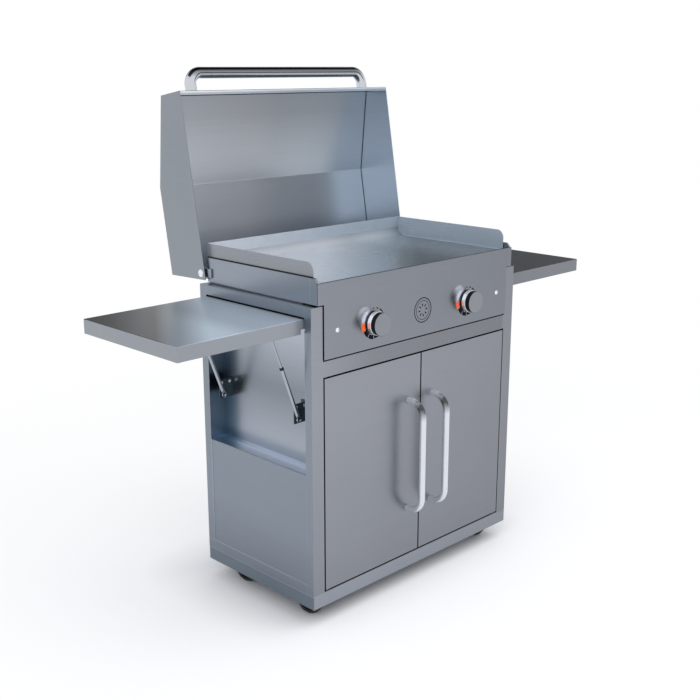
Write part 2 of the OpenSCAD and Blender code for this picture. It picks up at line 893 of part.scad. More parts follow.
// A pipe with a pad for each valve, led under the burner box to the inlet behind the back panel
module gas_manifold() {
    manifold_z = knob_z - valve_down - manifold_drop;
    shoulder_y = cart_d + inlet_shoulder_h;
    end_left = -knob_x - manifold_past;
    end_right = inlet_x + inlet_end;
    color(STEEL_DARK) in_cart() difference() {
        union() {
            bar_x(end_left, end_right, manifold_y, manifold_z, manifold_d);
            both_sides() block(knob_x - manifold_pad / 2, knob_x + manifold_pad / 2,
                manifold_y - manifold_d / 2, manifold_y + manifold_d / 2, manifold_z,
                knob_z - valve_down);
            bar_z(inlet_x, manifold_y, inlet_z - inlet_shoulder_d / 2, manifold_z, inlet_shoulder_d);
            bar_y(inlet_x, manifold_y, shoulder_y + inlet_thread, inlet_z, inlet_d);
            bar_y(inlet_x, cart_d, shoulder_y, inlet_z, inlet_shoulder_d);
        }
        bar_x(end_left + manifold_wall, end_right - manifold_wall, manifold_y, manifold_z,
            manifold_d - 2 * manifold_wall);
        bar_z(inlet_x, manifold_y, inlet_z, manifold_z, inlet_d - 2 * manifold_wall);
        bar_y(inlet_x, manifold_y, shoulder_y + inlet_thread + overrun, inlet_z,
            inlet_d - 2 * manifold_wall);
    }
}

module gas_valves() {
    cavity_start = plunger_y - plunger_room;
    cavity_end = plunger_y + plunger_len + knob_push + plunger_room;
    color(BRASS) in_cart() both_sides() difference() {
        union() {
            block(knob_x - valve_flange_w / 2, knob_x + valve_flange_w / 2, panel_back,
                panel_back + valve_flange_t, knob_z - valve_flange_h / 2, knob_z + valve_flange_h / 2);
            bar_y(knob_x, panel_back, valve_front, knob_z, valve_neck_d);
            block(knob_x - valve_w / 2, knob_x + valve_w / 2, valve_front, valve_back,
                knob_z - valve_down, knob_z + valve_up);
            bar_y(knob_x, valve_back, burner_front + spud_past, knob_z, spud_d);
        }
        bar_y(knob_x, panel_back - overrun, cavity_start, knob_z, stem_d + 2 * slide_clear);
        bar_y(knob_x, cavity_start, cavity_end, knob_z, plunger_d + 2 * slide_clear);
        bar_y(knob_x, cavity_end, burner_front + spud_past + overrun, knob_z, spud_bore);
    }
}

// Spark electrodes through the firebox's front, one beside each burner
module igniters() {
    color(CERAMIC) in_cart() both_sides() {
        bar_y(knob_x + igniter_x, tub_front - igniter_in, tub_front + igniter_out, knob_z, igniter_d);
        bar_y(knob_x + igniter_x, tub_front + igniter_out, tub_front + igniter_out + igniter_tip,
            knob_z, igniter_tip_d);
    }
}

module lid_hinge_pins() {
    head_x = cap_x + rest_gap;
    color(CHROME) in_cart() both_sides() {
        bar_x(body_x, head_x + lid_pin_head, pivot_y, pivot_z, lid_pin_d);
        bar_x(head_x, head_x + lid_pin_head, pivot_y, pivot_z, lid_pin_head_d);
    }
}

// A door pan: face, four folded edges, lips behind, and a drilled block at each hinge corner
module door(sx) {
    color(STEEL) in_cart() on_side(sx) difference() {
        union() {
            difference() {
                block(door_in_x, door_out_x, 0, door_t, door_low, door_top);
                block(door_in_x + sheet, door_out_x - sheet, sheet, door_t - sheet, door_low + sheet,
                    door_top - sheet);
                block(door_in_x + door_lip, door_out_x - door_lip, sheet, door_t + overrun,
                    door_low + door_lip, door_top - door_lip);
            }
            for (z0 = [door_low, door_top - hinge_block_h])
                block(door_out_x - 2 * door_pin_in, door_out_x - sheet, sheet, door_t - sheet, z0,
                    z0 + hinge_block_h);
        }
        for (z0 = [door_low - overrun, door_top - hinge_block_h])
            bar_z(door_pin_x, door_pin_deep, z0, z0 + hinge_block_h + overrun,
                door_pin_d + 2 * turn_clear);
    }
}

module door_handle(sx) {
    color(CHROME) in_cart() on_side(sx)
        translate([handle_x, 0, handle_z]) rotate([90, 0, 0]) rotate([0, 0, 90])
            bent_bar(handle_span, handle_out, handle_d, handle_bend);
}

// A folded shelf tray with lips, drilled for its hinge pins, and an ear for each strut
module shelf(sx) {
    lip_z = shelf_low + shelf_sheet;
    lug_x = half_w + strut_head_out;
    lug_y = strut_in + strut_eye_t / 2 + lug_gap;
    color(STEEL) in_cart() on_side(sx) {
        difference() {
            block(shelf_root_x, shelf_end_x, shelf_front, shelf_back, shelf_low, shelf_top);
            block(shelf_root_x - overrun, shelf_end_x - shelf_sheet, shelf_front + shelf_sheet,
                shelf_back - shelf_sheet, lip_z, shelf_under);
            block(shelf_root_x - overrun, shelf_end_x - shelf_lip, shelf_front + shelf_lip,
                shelf_back - shelf_lip, shelf_low - overrun, lip_z);
            block(shelf_root_x - overrun, half_w + shelf_lip, shelf_front - overrun,
                shelf_back + overrun, shelf_low - overrun, shelf_axis_z - 2 * shelf_axis_down);
            both_ends() bar_y(shelf_axis_x, shelf_front - overrun, shelf_front + shelf_lip,
                shelf_axis_z, shelf_pin_d + 2 * turn_clear);
        }
        both_ends() difference() {
            block(lug_x - lug_w / 2, lug_x + lug_w / 2, lug_y, lug_y + ear_t,
                shelf_top - strut_head_drop - lug_below, shelf_under);
            bar_y(lug_x, lug_y - overrun, lug_y + ear_t + overrun, shelf_top - strut_head_drop,
                strut_pin_d);
        }
    }
}

// A strut's own axes: z along the strut from its foot, y across its eyes
module along_strut(sx, sy) {
    in_cart() on_side(sx) on_end(sy) translate([strut_foot_x, strut_in, strut_foot_z])
        rotate([0, strut_lean, 0]) children();
}

module eye(z, r) {
    bar_y(0, -strut_eye_t / 2, strut_eye_t / 2, z, 2 * r);
}

module eye_bore(z) {
    bar_y(0, -strut_eye_t, strut_eye_t, z, strut_pin_d + 2 * turn_clear);
}

module strut_tube(sx, sy) {
    collar_d = strut_tube_d + 2 * strut_collar_wall;
    color(STEEL_LIGHT) along_strut(sx, sy) difference() {
        union() {
            eye(0, strut_foot_r);
            cylinder(d = strut_tube_d, h = strut_tube_len - strut_collar);
            translate([0, 0, strut_tube_len - strut_collar]) cylinder(d = collar_d, h = strut_collar);
        }
        eye_bore(0);
        bar_z(0, 0, strut_bore_start, strut_tube_len + overrun, strut_rod_d + 2 * slide_clear);
        for (s = [-1, 1])
            translate([0, s * strut_eye_t, 0])
                block(-strut_foot_r, strut_foot_r, -strut_eye_t / 2, strut_eye_t / 2, -strut_foot_r,
                    strut_flat);
    }
}

module strut_rod(sx, sy) {
    color(CHROME) along_strut(sx, sy) difference() {
        union() {
            eye(strut_len, strut_head_r);
            bar_z(0, 0, strut_len - strut_rod_len, strut_len, strut_rod_d);
        }
        eye_bore(strut_len);
        for (s = [-1, 1])
            translate([0, s * strut_eye_t, strut_len])
                block(-strut_head_r, strut_head_r, -strut_eye_t / 2, strut_eye_t / 2, -strut_head_r,
                    strut_head_r);
    }
}

// The lid's own axes: drawn closed round its pivot, then turned open
module open_lid() {
    in_cart() translate([0, pivot_y, pivot_z]) rotate([-lid_open, 0, 0]) children();
}

// Side outline of the closed lid from its pivot, with every wall moved in by one thickness
function lid_outline(wall) =
    let(
        front = -lid_reach + wall,
        slope = atan2(lid_crown - lid_front_up, lid_reach - lid_knee),
        slope_drop = wall / cos(slope),
        front_rise = wall * tan(slope),
        knee_back = wall * tan(slope / 2),
        lean = lid_back_lean / (lid_crown + lid_skirt),
        back_in = wall * sqrt(1 + lean * lean)
    )
    [
        [front, -lid_skirt],
        [front, lid_front_up - slope_drop + front_rise],
        [-lid_knee + knee_back, lid_crown - wall],
        [lean * wall - back_in, lid_crown - wall],
        [lid_back_lean - back_in, -lid_skirt]
    ];

module lid_shell() {
    back_stop = lid_crown - (lid_crown + lid_skirt) * lid_back_share;
    color(STEEL) open_lid() {
        difference() {
            profile_x(-shell_x, shell_x, lid_outline(0));
            translate([0, 0, -sheet]) profile_x(-cap_x, cap_x, [
                for (p = lid_outline(sheet)) [p[0], p[1] < 0 ? p[1] - overrun : p[1] + sheet]
            ]);
            wide_block(cap_x, -lid_knee, lid_back_lean + overrun, -lid_skirt - overrun, back_stop);
        }
        wide_block(shell_x, sheet - lid_reach, lid_lip - lid_reach, -lid_skirt, sheet - lid_skirt);
    }
}

module lid_cap(sx) {
    color(STEEL) open_lid() on_side(sx) difference() {
        profile_x(shell_x, cap_x, lid_outline(0));
        bar_x(shell_x - overrun, cap_x + overrun, 0, 0, lid_pin_d + 2 * turn_clear);
    }
}

module lid_handle() {
    color(CHROME) open_lid() translate([0, -lid_reach, bar_up]) rotate([90, 0, 0])
        bent_bar(bar_span, bar_out, bar_d, bar_bend);
}

// The sliding piece in the valve that the stem pushes back
module valve_plunger(sx) {
    color(BRASS) in_cart() on_side(sx)
        bar_y(knob_x, plunger_y, plunger_y + plunger_len, knob_z, plunger_d);
}

module valve_stem(sx) {
    color(STEEL_DARK) in_cart() on_side(sx)
        bar_y(knob_x, knob_face_y + knob_out - knob_gap - stem_in_knob, plunger_y - rest_gap,
            knob_z, stem_d);
}

// A knob: chrome band, black groove, flat cap, hollow behind round its hub
module knob(sx) {
    band_r = knob_d / 2;
    length = knob_out - knob_gap;
    groove_r = band_r - knob_groove_depth;
    color(CHROME) in_cart() on_side(sx) translate([knob_x, knob_face_y + length, knob_z])
        rotate([90, 0, 0]) difference() {
            rotate_extrude() polygon([
                [0, 0],
                [band_r, 0],
                [band_r, knob_band],
                [groove_r, knob_band],
                [groove_r, length - knob_cap],
                [band_r, length - knob_cap],
                [band_r - knob_cap_in, length],
                [0, length]
            ]);
            difference() {
                translate([0, 0, -overrun])
                    cylinder(d = knob_d - 2 * knob_hollow_wall, h = knob_hollow + overrun);
                translate([0, 0, -2 * overrun]) cylinder(d = knob_hub_d, h = knob_hollow + 3 * overrun);
            }
            translate([0, 0, -overrun]) cylinder(d = stem_d, h = stem_in_knob + overrun);
        }
}

// A caster's own axes: x in the direction of its trail, the swivel's axis along z
module at_caster(sx, sy) {
    in_cart() translate([sx * caster_x, mid_d + sy * caster_y, 0]) rotate([0, 0, 180 + caster_turn])
        children();
}

module caster_fork(sx, sy) {
    cheek_y = wheel_w / 2 + fork_gap;
    cheek_low = fork_top_z - fork_top_t;
    color(BLACK) at_caster(sx, sy) {
        bar_z(0, 0, fork_top_z, skirt_h - caster_plate_t - rest_gap, king_d);
        block(-fork_top_w / 2, fork_top_w / 2, -cheek_y - fork_t, cheek_y + fork_t, cheek_low,
            fork_top_z);
        for (s = [-1, 1])
            translate([0, s > 0 ? cheek_y : -cheek_y - fork_t, 0]) {
                profile_y(0, fork_t, [
                    [-fork_top_w / 2, cheek_low],
                    [caster_trail - fork_foot_r, axle_z],
                    [caster_trail + fork_foot_r, axle_z],
                    [fork_top_w / 2, cheek_low]
                ]);
                bar_y(caster_trail, 0, fork_t, axle_z, 2 * fork_foot_r);
            }
        bar_y(caster_trail, -cheek_y, cheek_y, axle_z, axle_d);
        bar_y(caster_trail, cheek_y + fork_t, cheek_y + fork_t + axle_head, axle_z, axle_head_d);
        bar_y(caster_trail, -cheek_y - fork_t - axle_head, -cheek_y - fork_t, axle_z, axle_head_d);
    }
}

module caster_wheel(sx, sy) {
    wheel_r = wheel_d / 2;
    half_wheel = wheel_w / 2;
    color(BLACK) at_caster(sx, sy) translate([caster_trail, 0, axle_z]) rotate([90, 0, 0])
        rotate_extrude() polygon([
            [axle_d / 2 + turn_clear, -half_wheel],
            [hub_d / 2, -half_wheel],
            [hub_d / 2, hub_recess - half_wheel],
            [wheel_r - 2 * tread_round, hub_recess - half_wheel],
            [wheel_r - 2 * tread_round, -half_wheel],
            [wheel_r - tread_round, -half_wheel],
            for (a = [15:15:75]) [
                wheel_r - tread_round + tread_round * sin(a),
                tread_round - half_wheel - tread_round * cos(a)
            ],
            [wheel_r, tread_round - half_wheel],
            [wheel_r, half_wheel - tread_round],
            for (a = [15:15:75]) [
                wheel_r - tread_round + tread_round * cos(a),
                half_wheel - tread_round + tread_round * sin(a)
            ],
            [wheel_r - tread_round, half_wheel],
            [wheel_r - 2 * tread_round, half_wheel],
            [wheel_r - 2 * tread_round, half_wheel - hub_recess],
            [hub_d / 2, half_wheel - hub_recess],
            [hub_d / 2, half_wheel],
            [axle_d / 2 + turn_clear, half_wheel]
        ]);
}

base_skirt();
cabinet_floor();
front_frame();
back_panel();
side_panel(-1);  // left_side_panel
side_panel(1);  // right_side_panel
recess_liner(-1);  // left_recess_liner
recess_liner(1);  // right_recess_liner
cart_top_frame();
shelf_hinge_pins();
strut_brackets();
caster_plates();
door_hinge_pins();
door_magnets();
control_panel();
panel_screws();
firebox();
griddle_body();
griddle_plate();
splash_guard();
drip_gutter();
grease_cup();
burners();
gas_manifold();
gas_valves();
igniters();
lid_hinge_pins();
door(-1);  // left_door
door(1);  // right_door
door_handle(-1);  // left_door_handle
door_handle(1);  // right_door_handle
shelf(-1);  // left_shelf
shelf(1);  // right_shelf
strut_tube(-1, -1);  // left_front_strut_tube
strut_tube(-1, 1);  // left_rear_strut_tube
strut_tube(1, -1);  // right_front_strut_tube
strut_tube(1, 1);  // right_rear_strut_tube
strut_rod(-1, -1);  // left_front_strut_rod
strut_rod(-1, 1);  // left_rear_strut_rod
strut_rod(1, -1);  // right_front_strut_rod
strut_rod(1, 1);  // right_rear_strut_rod
lid_shell();
lid_cap(-1);  // lid_left_cap
lid_cap(1);  // lid_right_cap
lid_handle();
valve_plunger(-1);  // left_valve_plunger
valve_plunger(1);  // right_valve_plunger
valve_stem(-1);  // left_valve_stem
valve_stem(1);  // right_valve_stem
knob(-1);  // left_knob
knob(1);  // right_knob
caster_fork(-1, -1);  // front_left_caster_fork
caster_fork(1, -1);  // front_right_caster_fork
caster_fork(-1, 1);  // rear_left_caster_fork
caster_fork(1, 1);  // rear_right_caster_fork
caster_wheel(-1, -1);  // front_left_caster_wheel
caster_wheel(1, -1);  // front_right_caster_wheel
caster_wheel(-1, 1);  // rear_left_caster_wheel
caster_wheel(1, 1);  // rear_right_caster_wheel
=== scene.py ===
"""Looks of an outdoor gas griddle station: finishes, detailed pieces, studio and camera."""

import logging
import math
from dataclasses import dataclass, field
from enum import Enum
from typing import Callable, Iterable, Optional, Sequence, Union

import bmesh
import bpy
from mathutils import Matrix, Vector


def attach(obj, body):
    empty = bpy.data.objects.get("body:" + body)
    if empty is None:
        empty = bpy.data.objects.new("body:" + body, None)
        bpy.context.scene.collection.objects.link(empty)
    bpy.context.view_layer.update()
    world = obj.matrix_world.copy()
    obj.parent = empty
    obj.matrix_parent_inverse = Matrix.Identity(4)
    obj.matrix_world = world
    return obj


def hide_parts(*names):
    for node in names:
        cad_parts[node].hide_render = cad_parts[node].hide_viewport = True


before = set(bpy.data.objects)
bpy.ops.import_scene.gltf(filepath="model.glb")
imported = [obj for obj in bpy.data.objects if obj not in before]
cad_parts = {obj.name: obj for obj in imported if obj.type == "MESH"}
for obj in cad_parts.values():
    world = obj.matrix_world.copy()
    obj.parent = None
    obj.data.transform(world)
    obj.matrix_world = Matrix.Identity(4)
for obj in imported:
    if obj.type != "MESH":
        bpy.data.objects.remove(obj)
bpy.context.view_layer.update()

LOG = logging.getLogger("griddle_station")

Colour = tuple[float, float, float]
Point = Sequence[float]
Value = Union[float, "Term"]
# Painted light and shade that finishes multiply into their base colour: ramps, soft patches and
# gated sets of them.
Light = Union["Tone", "Spot", "Gated"]

ACROSS = (1.0, 0.0, 0.0)
BACK = (0.0, 1.0, 0.0)
UP = (0.0, 0.0, 1.0)
FRONT = (0.0, -1.0, 0.0)
DOWN = (0.0, 0.0, -1.0)
EVEN = (1.0, 1.0, 1.0)
ZERO = (0.0, 0.0, 0.0)
WHITE = (1.0, 1.0, 1.0, 1.0)

MILLIMETRE = 0.001
ROW_SHIFT = Vector((0.0, -267.7612, 51.0))
CART_TO_ROW = Matrix.Scale(MILLIMETRE, 4) @ Matrix.Translation(ROW_SHIFT)
STILL = Matrix.Identity(4)
TOLERANCE = 0.1
BLANK = 10.0
BEND_STEPS = 14
FILLET_STEPS = 8
ARC_STEP = 6.0
QUARTER = 90.0
FULL_TURN = 360.0
WELD = 0.001
COPY_WELD = 0.01
FLAT_WITHIN = 0.5
AIMED = 0.9
NOISE_MIDDLE = 0.5
LINE_EDGE = 0.2
LINE_WIDTH = 2.0


def close(value: float, place: float) -> bool:
    """Whether two places in the cart's millimetres are the same."""
    return abs(value - place) < TOLERANCE


def sign_of(operation: str, reflected: bool = False) -> Callable[["Term", Value], "Term"]:
    """Makes the method behind an arithmetic sign.

    Args:
        operation: The Math node's operation.
        reflected: Whether the term stands on the right of the sign.

    Returns:
        The method.
    """

    def method(self: "Term", other: Value) -> "Term":
        """Adds the Math node for this sign."""
        return self.maths(operation, *((other, self) if reflected else (self, other)))

    return method


class Term:
    """A value socket that can be written in arithmetic."""

    def __init__(self, shader: "Shader", socket: bpy.types.NodeSocket) -> None:
        """Keeps the socket and the shader that it belongs to."""
        self.shader, self.socket = shader, socket

    def maths(self, operation: str, *values: Value) -> "Term":
        """Adds one Math node on some values and gives its result."""
        return self.shader.add("ShaderNodeMath", dict(enumerate(values)), operation=operation)

    __add__ = sign_of("ADD")
    __radd__ = sign_of("ADD", reflected=True)
    __sub__ = sign_of("SUBTRACT")
    __rsub__ = sign_of("SUBTRACT", reflected=True)
    __mul__ = sign_of("MULTIPLY")
    __rmul__ = sign_of("MULTIPLY", reflected=True)
    __truediv__ = sign_of("DIVIDE")
    __rtruediv__ = sign_of("DIVIDE", reflected=True)

    def clamp(self) -> "Term":
        """This value, held between zero and one."""
        return self.maths("MAXIMUM", self.maths("MINIMUM", self, 1.0), 0.0)


class Shader:
    """A material or world tree, built node by node."""

    def __init__(self, tree: bpy.types.NodeTree) -> None:
        """Starts from an empty tree."""
        self.tree = tree
        tree.nodes.clear()

    def node(self, kind: str, inputs: dict, **settings: object) -> bpy.types.Node:
        """Adds a node.

        Args:
            kind: The node's type.
            inputs: Values, terms or sockets, by the name or number of the input.
            settings: Properties of the node, set before its inputs.

        Returns:
            The new node.
        """
        made = self.tree.nodes.new(kind)
        for name, value in settings.items():
            setattr(made, name, value)
        for name, value in inputs.items():
            value = value.socket if isinstance(value, Term) else value
            if isinstance(value, bpy.types.NodeSocket):
                self.tree.links.new(value, made.inputs[name])
            else:
                made.inputs[name].default_value = value
        return made

    def add(self, kind: str, inputs: dict, output: Union[int, str] = 0, **settings: object) -> Term:
        """Adds a node and gives one of its outputs as a term."""
        return Term(self, self.node(kind, inputs, **settings).outputs[output])

    def vector(self, operation: str, *values: object, output: Union[int, str] = 0) -> Term:
        """Adds one Vector Math node and gives its vector, or its number as output Value."""
        inputs = dict(enumerate(values))
        return self.add("ShaderNodeVectorMath", inputs, output, operation=operation)

    def place(self, stretch: Point = EVEN) -> Term:
        """Object coordinates, stretched along each axis."""
        source = self.add("ShaderNodeTexCoord", {}, output="Object")
        return self.vector("MULTIPLY", source, stretch)

    def cart_place(self) -> Term:
        """Object coordinates in the cart's millimetres."""
        source = self.add("ShaderNodeTexCoord", {}, output="Object")
        return self.vector("MULTIPLY_ADD", source, (1.0 / MILLIMETRE,) * 3, tuple(-ROW_SHIFT))

    def noise(self, where: Term, scale: float, detail: float = 3.0) -> Term:
        """Noise between zero and one at the given places."""
        return self.add("ShaderNodeTexNoise", {"Vector": where, "Scale": scale, "Detail": detail})

    def bump(self, height: Term, strength: float, depth: float) -> Term:
        """A normal that follows a height."""
        inputs = {"Height": height, "Strength": strength, "Distance": depth}
        return self.add("ShaderNodeBump", inputs)

    def tint(self, low: Colour, high: Union[Colour, Term], share: Value) -> Term:
        """A colour between two, by a share from zero to one."""
        top = high if isinstance(high, Term) else (*high, 1.0)
        return self.add("ShaderNodeMix", {0: share, 6: (*low, 1.0), 7: top}, 2, data_type="RGBA")

    def glow(self, colour: Point) -> bpy.types.Node:
        """An even light of a colour."""
        return self.node("ShaderNodeEmission", {"Color": colour, "Strength": 1.0})

    def cover(self, surface: bpy.types.Node, kind: str = "Material") -> None:
        """Gives a node's result to the material or the world."""
        self.node(f"ShaderNodeOutput{kind}", {"Surface": surface.outputs[0]})

    def seen_directly(self) -> Term:
        """Tells rays that are seen from those that only light.

        Returns:
            One for rays from the eye, off metal and through glass, and zero for the rest.
        """
        path = self.node("ShaderNodeLightPath", {})
        names = ("Is Camera Ray", "Is Glossy Ray", "Is Transmission Ray")
        camera, glossy, through = (Term(self, path.outputs[name]) for name in names)
        return (camera + glossy + through).clamp()


@dataclass(frozen=True)
class Tone:
    """A gradual change of brightness along one direction, in the cart's millimetres: painted light
    and shade, or a gate that holds other painted light and shade.
    """

    way: Point
    start: float
    end: float
    first: float
    last: float

    def build(self, shader: Shader) -> Term:
        """The brightness at each place: one level before the start, another past the end.

        Args:
            shader: The material's nodes.

        Returns:
            The brightness.
        """
        along = shader.vector("DOT_PRODUCT", shader.cart_place(), self.way, output="Value")
        share = ((along - self.start) / (self.end - self.start)).clamp()
        return share * (self.last - self.first) + self.first


@dataclass(frozen=True)
class Spot:
    """A soft patch of painted brightness round a point, lighter or darker than the rest, in the
    cart's millimetres.
    """

    centre: Point
    reach: float
    inner: float

    def build(self, shader: Shader) -> Term:
        """The brightness at each place, fading to one at the patch's reach."""
        away = shader.vector("DISTANCE", shader.cart_place(), self.centre, output="Value")
        return (1.0 - away / self.reach).clamp() * (self.inner - 1.0) + 1.0


class Gated:
    """Painted light and shade that hold only where a gate is one, and not where it is zero."""

    def __init__(self, gate: Tone, *tones: Light) -> None:
        """Keeps the gate and its painted light and shade."""
        self.gate, self.tones = gate, tones

    def build(self, shader: Shader) -> Term:
        """The brightness at each place."""
        return self.gate.build(shader) * (combined(self.tones, shader) - 1.0) + 1.0


def combined(tones: Sequence[Light], shader: Shader) -> Value:
    """The product of several ramps and patches of painted light and shade, or one where there are
    none.

    Args:
        tones: The ramps and patches of painted light and shade.
        shader: The material's nodes.

    Returns:
        The product.
    """
    product: Value = 1.0
    for tone in tones:
        product = tone.build(shader) * product
    return product


class Brush(Enum):
    """Direction in which a steel sheet is brushed, as a stretch of the grain."""

    ALONG_X = (0.02, 1.0, 1.0)
    ALONG_Y = (1.0, 0.02, 1.0)
    ALL_ROUND = (1.0, 1.0, 1.0)


@dataclass(frozen=True)
class Finish:
    """What every finish has: a name, a colour, the record's slot and its material."""

    name: str
    colour: Colour
    slot: str

    def build(self, shader: Shader) -> dict:
        """Gives the shader's inputs for this finish; each kind of finish has its own."""
        raise NotImplementedError

    def material(self) -> bpy.types.Material:
        """Makes the material, or finds it if it was made before.

        Returns:
            The material.
        """
        found = bpy.data.materials.get(self.name)
        if found:
            return found
        made = bpy.data.materials.new(self.name)
        made.use_nodes = True
        shader = Shader(made.node_tree)
        shader.cover(shader.node("ShaderNodeBsdfPrincipled", self.build(shader)))
        return made


@dataclass(frozen=True)
class BrushedSteel(Finish):
    """Sheet steel brushed in one direction, with faint clouding from handling, and with painted
    light, shade and teal reflections set by place.
    """

    slot: str = "brushed_steel"
    brush: Brush = Brush.ALONG_X
    roughness: float = 0.30
    contrast: float = 0.06
    depth: float = 0.000012
    metallic: float = 1.0
    # Where a bluer colour is mixed in: a painted teal reflection.
    teal: Optional[Tone] = None
    # Painted light and shade, multiplied into the base colour.
    tones: tuple[Light, ...] = ()
    grain: float = 1400.0
    broad_grain: float = 168.0
    cloud_grain: float = 3.5
    cloud_light: float = 0.12
    cloud_gloss: float = 0.08
    scratches: float = 0.35
    teal_shift: Colour = (0.84, 1.0, 1.08)
    # Room above the base colour, so that painted highlights can be brighter than it.
    head_room: float = 2.5

    def build(self, shader: Shader) -> dict:
        """Fine streaks along the brushing, scratches in the normal, a slow cloud, painted light and
        shade, and a painted teal reflection.

        Args:
            shader: The material's nodes.

        Returns:
            The shader's inputs.
        """
        where = shader.place(self.brush.value)
        fine = shader.noise(where, self.grain) - NOISE_MIDDLE
        broad = shader.noise(where, self.broad_grain, 2.0) - NOISE_MIDDLE
        cloud = shader.noise(shader.place(), self.cloud_grain) - NOISE_MIDDLE
        level = (fine + broad) * self.contrast + cloud * self.cloud_light + 1.0
        # The tones paint light and shade into the colour, within the head room.
        share = level * combined(self.tones, shader) / self.head_room
        light: Union[Colour, Term] = tuple(channel * self.head_room for channel in self.colour)
        # The painted teal reflection: a bluer colour mixed in by place.
        if self.teal:
            bluer = tuple(channel * by for channel, by in zip(light, self.teal_shift))
            light = shader.tint(light, bluer, self.teal.build(shader))
        return {
            "Base Color": shader.tint(ZERO, light, share.clamp()),
            "Metallic": self.metallic,
            "Roughness": fine * self.contrast + cloud * self.cloud_gloss + self.roughness,
            "Normal": shader.bump(fine, self.scratches, self.depth),
        }


@dataclass(frozen=True)
class PolishedSteel(Finish):
    """Polished tube and bright trim, with faint polishing marks and painted light and shade set by
    place.
    """

    slot: str = "chrome"
    roughness: float = 0.14
    metallic: float = 1.0
    # Painted light and shade, multiplied into the base colour.
    tones: tuple[Light, ...] = ()
    marks: float = 60.0
    marks_light: float = 0.1
    marks_gloss: float = 0.06

    def build(self, shader: Shader) -> dict:
        """Nearly mirror gloss with a slow variation and painted light and shade.

        Args:
            shader: The material's nodes.

        Returns:
            The shader's inputs.
        """
        cloud = shader.noise(shader.place(), self.marks)
        level = cloud * self.marks_light + (1.0 - self.marks_light)
        # The tones paint light and shade into the colour.
        share = level * combined(self.tones, shader)
        return {
            "Base Color": shader.tint(ZERO, self.colour, share),
            "Metallic": self.metallic,
            "Roughness": (cloud - NOISE_MIDDLE) * self.marks_gloss + self.roughness,
        }


@dataclass(frozen=True)
class Coating(Finish):
    """Paint, rubber, plastic or ceramic with a fine surface texture."""

    roughness: float = 0.5
    texture: float = 900.0
    depth: float = 0.00008
    shine: float = 0.5
    pebble: float = 0.4
    dust_grain: float = 25.0
    dust_light: float = 1.25
    dust_least: float = 0.002
    dust_gloss: float = 0.15

    def build(self, shader: Shader) -> dict:
        """An even colour with a fine pebble and a little dust.

        Args:
            shader: The material's nodes.

        Returns:
            The shader's inputs.
        """
        height = shader.noise(shader.place(), self.texture, 2.0)
        dust = shader.noise(shader.place(), self.dust_grain)
        lighter = (channel * self.dust_light + self.dust_least for channel in self.colour)
        pale = tuple(min(1.0, channel) for channel in lighter)
        return {
            "Base Color": shader.tint(self.colour, pale, dust),
            "Metallic": 0.0,
            "Specular IOR Level": self.shine,
            "Roughness": (dust - NOISE_MIDDLE) * self.dust_gloss + self.roughness,
            "Normal": shader.bump(height, self.pebble, self.depth),
        }


def dim_to(way: Point, start: float, end: float, level: float = 0.05) -> Tone:
    """Painted shade up to a place along a direction, and plain from a second place on."""
    return Tone(way, start, end, level, 1.0)


def dim_from(way: Point, start: float, end: float, level: float = 0.05) -> Tone:
    """Plain up to a place along a direction, and painted shade from a second place on."""
    return Tone(way, start, end, 1.0, level)


def open_from(way: Point, start: float, end: float) -> Tone:
    """A gate that opens between two places along a direction."""
    return Tone(way, start, end, 0.0, 1.0)


def open_to(way: Point, start: float, end: float) -> Tone:
    """A gate that closes between two places along a direction."""
    return Tone(way, start, end, 1.0, 0.0)


def thin_line(way: Point, place: float, level: float) -> Gated:
    """A painted line across a direction, of its own brightness.

    Args:
        way: The direction.
        place: Where the line begins, in the cart's millimetres.
        level: Its brightness.

    Returns:
        The line.
    """
    gate = open_from(way, place - LINE_EDGE, place + LINE_EDGE)
    far = place + LINE_WIDTH
    return Gated(gate, Tone(way, far - LINE_EDGE, far + LINE_EDGE, level, 1.0))


# The brushed steel finishes from here to LID_STEEL are copies of one stainless steel: their base
# colours differ from face to face as painted light and shade, their tones paint further light,
# shade and reflections, and their teal masks paint bluish reflections. NEAR_FRONT opens on the
# first few millimetres behind the front faces, where the painted shadows in the gaps go.
NEAR_FRONT = open_to(BACK, 5.0, 7.0)
FRONT_COLOUR = (0.345, 0.362, 0.405)
# Painted light and shade on the front: darker towards the right and towards the bottom, and the
# rail between the doors and the panel painted darker.
FRONT_PAINTED_LIGHT = (
    Tone(ACROSS, -390.0, 390.0, 0.87, 0.71),
    Tone(UP, 60.0, 520.0, 0.88, 1.07),
    Gated(
        open_from(ACROSS, -350.0, -180.0),
        Gated(
            open_to(ACROSS, 340.0, 352.0),
            Tone(UP, 597.5, 599.0, 1.0, 0.80),
            Tone(UP, 640.5, 642.0, 1.0, 1.25),
        ),
    ),
)
# Front frame: the front's painted light and shade, and its folds into the openings painted almost
# black, as painted shadow in the gaps.
FRONT_STEEL = BrushedSteel(
    "brushed_steel_front",
    FRONT_COLOUR,
    tones=(*FRONT_PAINTED_LIGHT, Gated(NEAR_FRONT, dim_from(BACK, 1.6, 2.0, 0.02))),
)
# Doors: the front's painted light and shade, and the edges of each door painted almost black, as
# painted shadow in the gaps round it.
DOOR_STEEL = BrushedSteel(
    "brushed_steel_doors",
    FRONT_COLOUR,
    tones=(
        *FRONT_PAINTED_LIGHT,
        Gated(
            NEAR_FRONT,
            dim_to(UP, 41.6, 42.0),
            dim_from(UP, 595.6, 596.2),
            dim_to(ACROSS, -348.4, -347.8),
            dim_from(ACROSS, 347.8, 348.4),
            Gated(open_from(ACROSS, -2.5, -2.1), dim_to(ACROSS, 2.1, 2.5)),
        ),
    ),
)
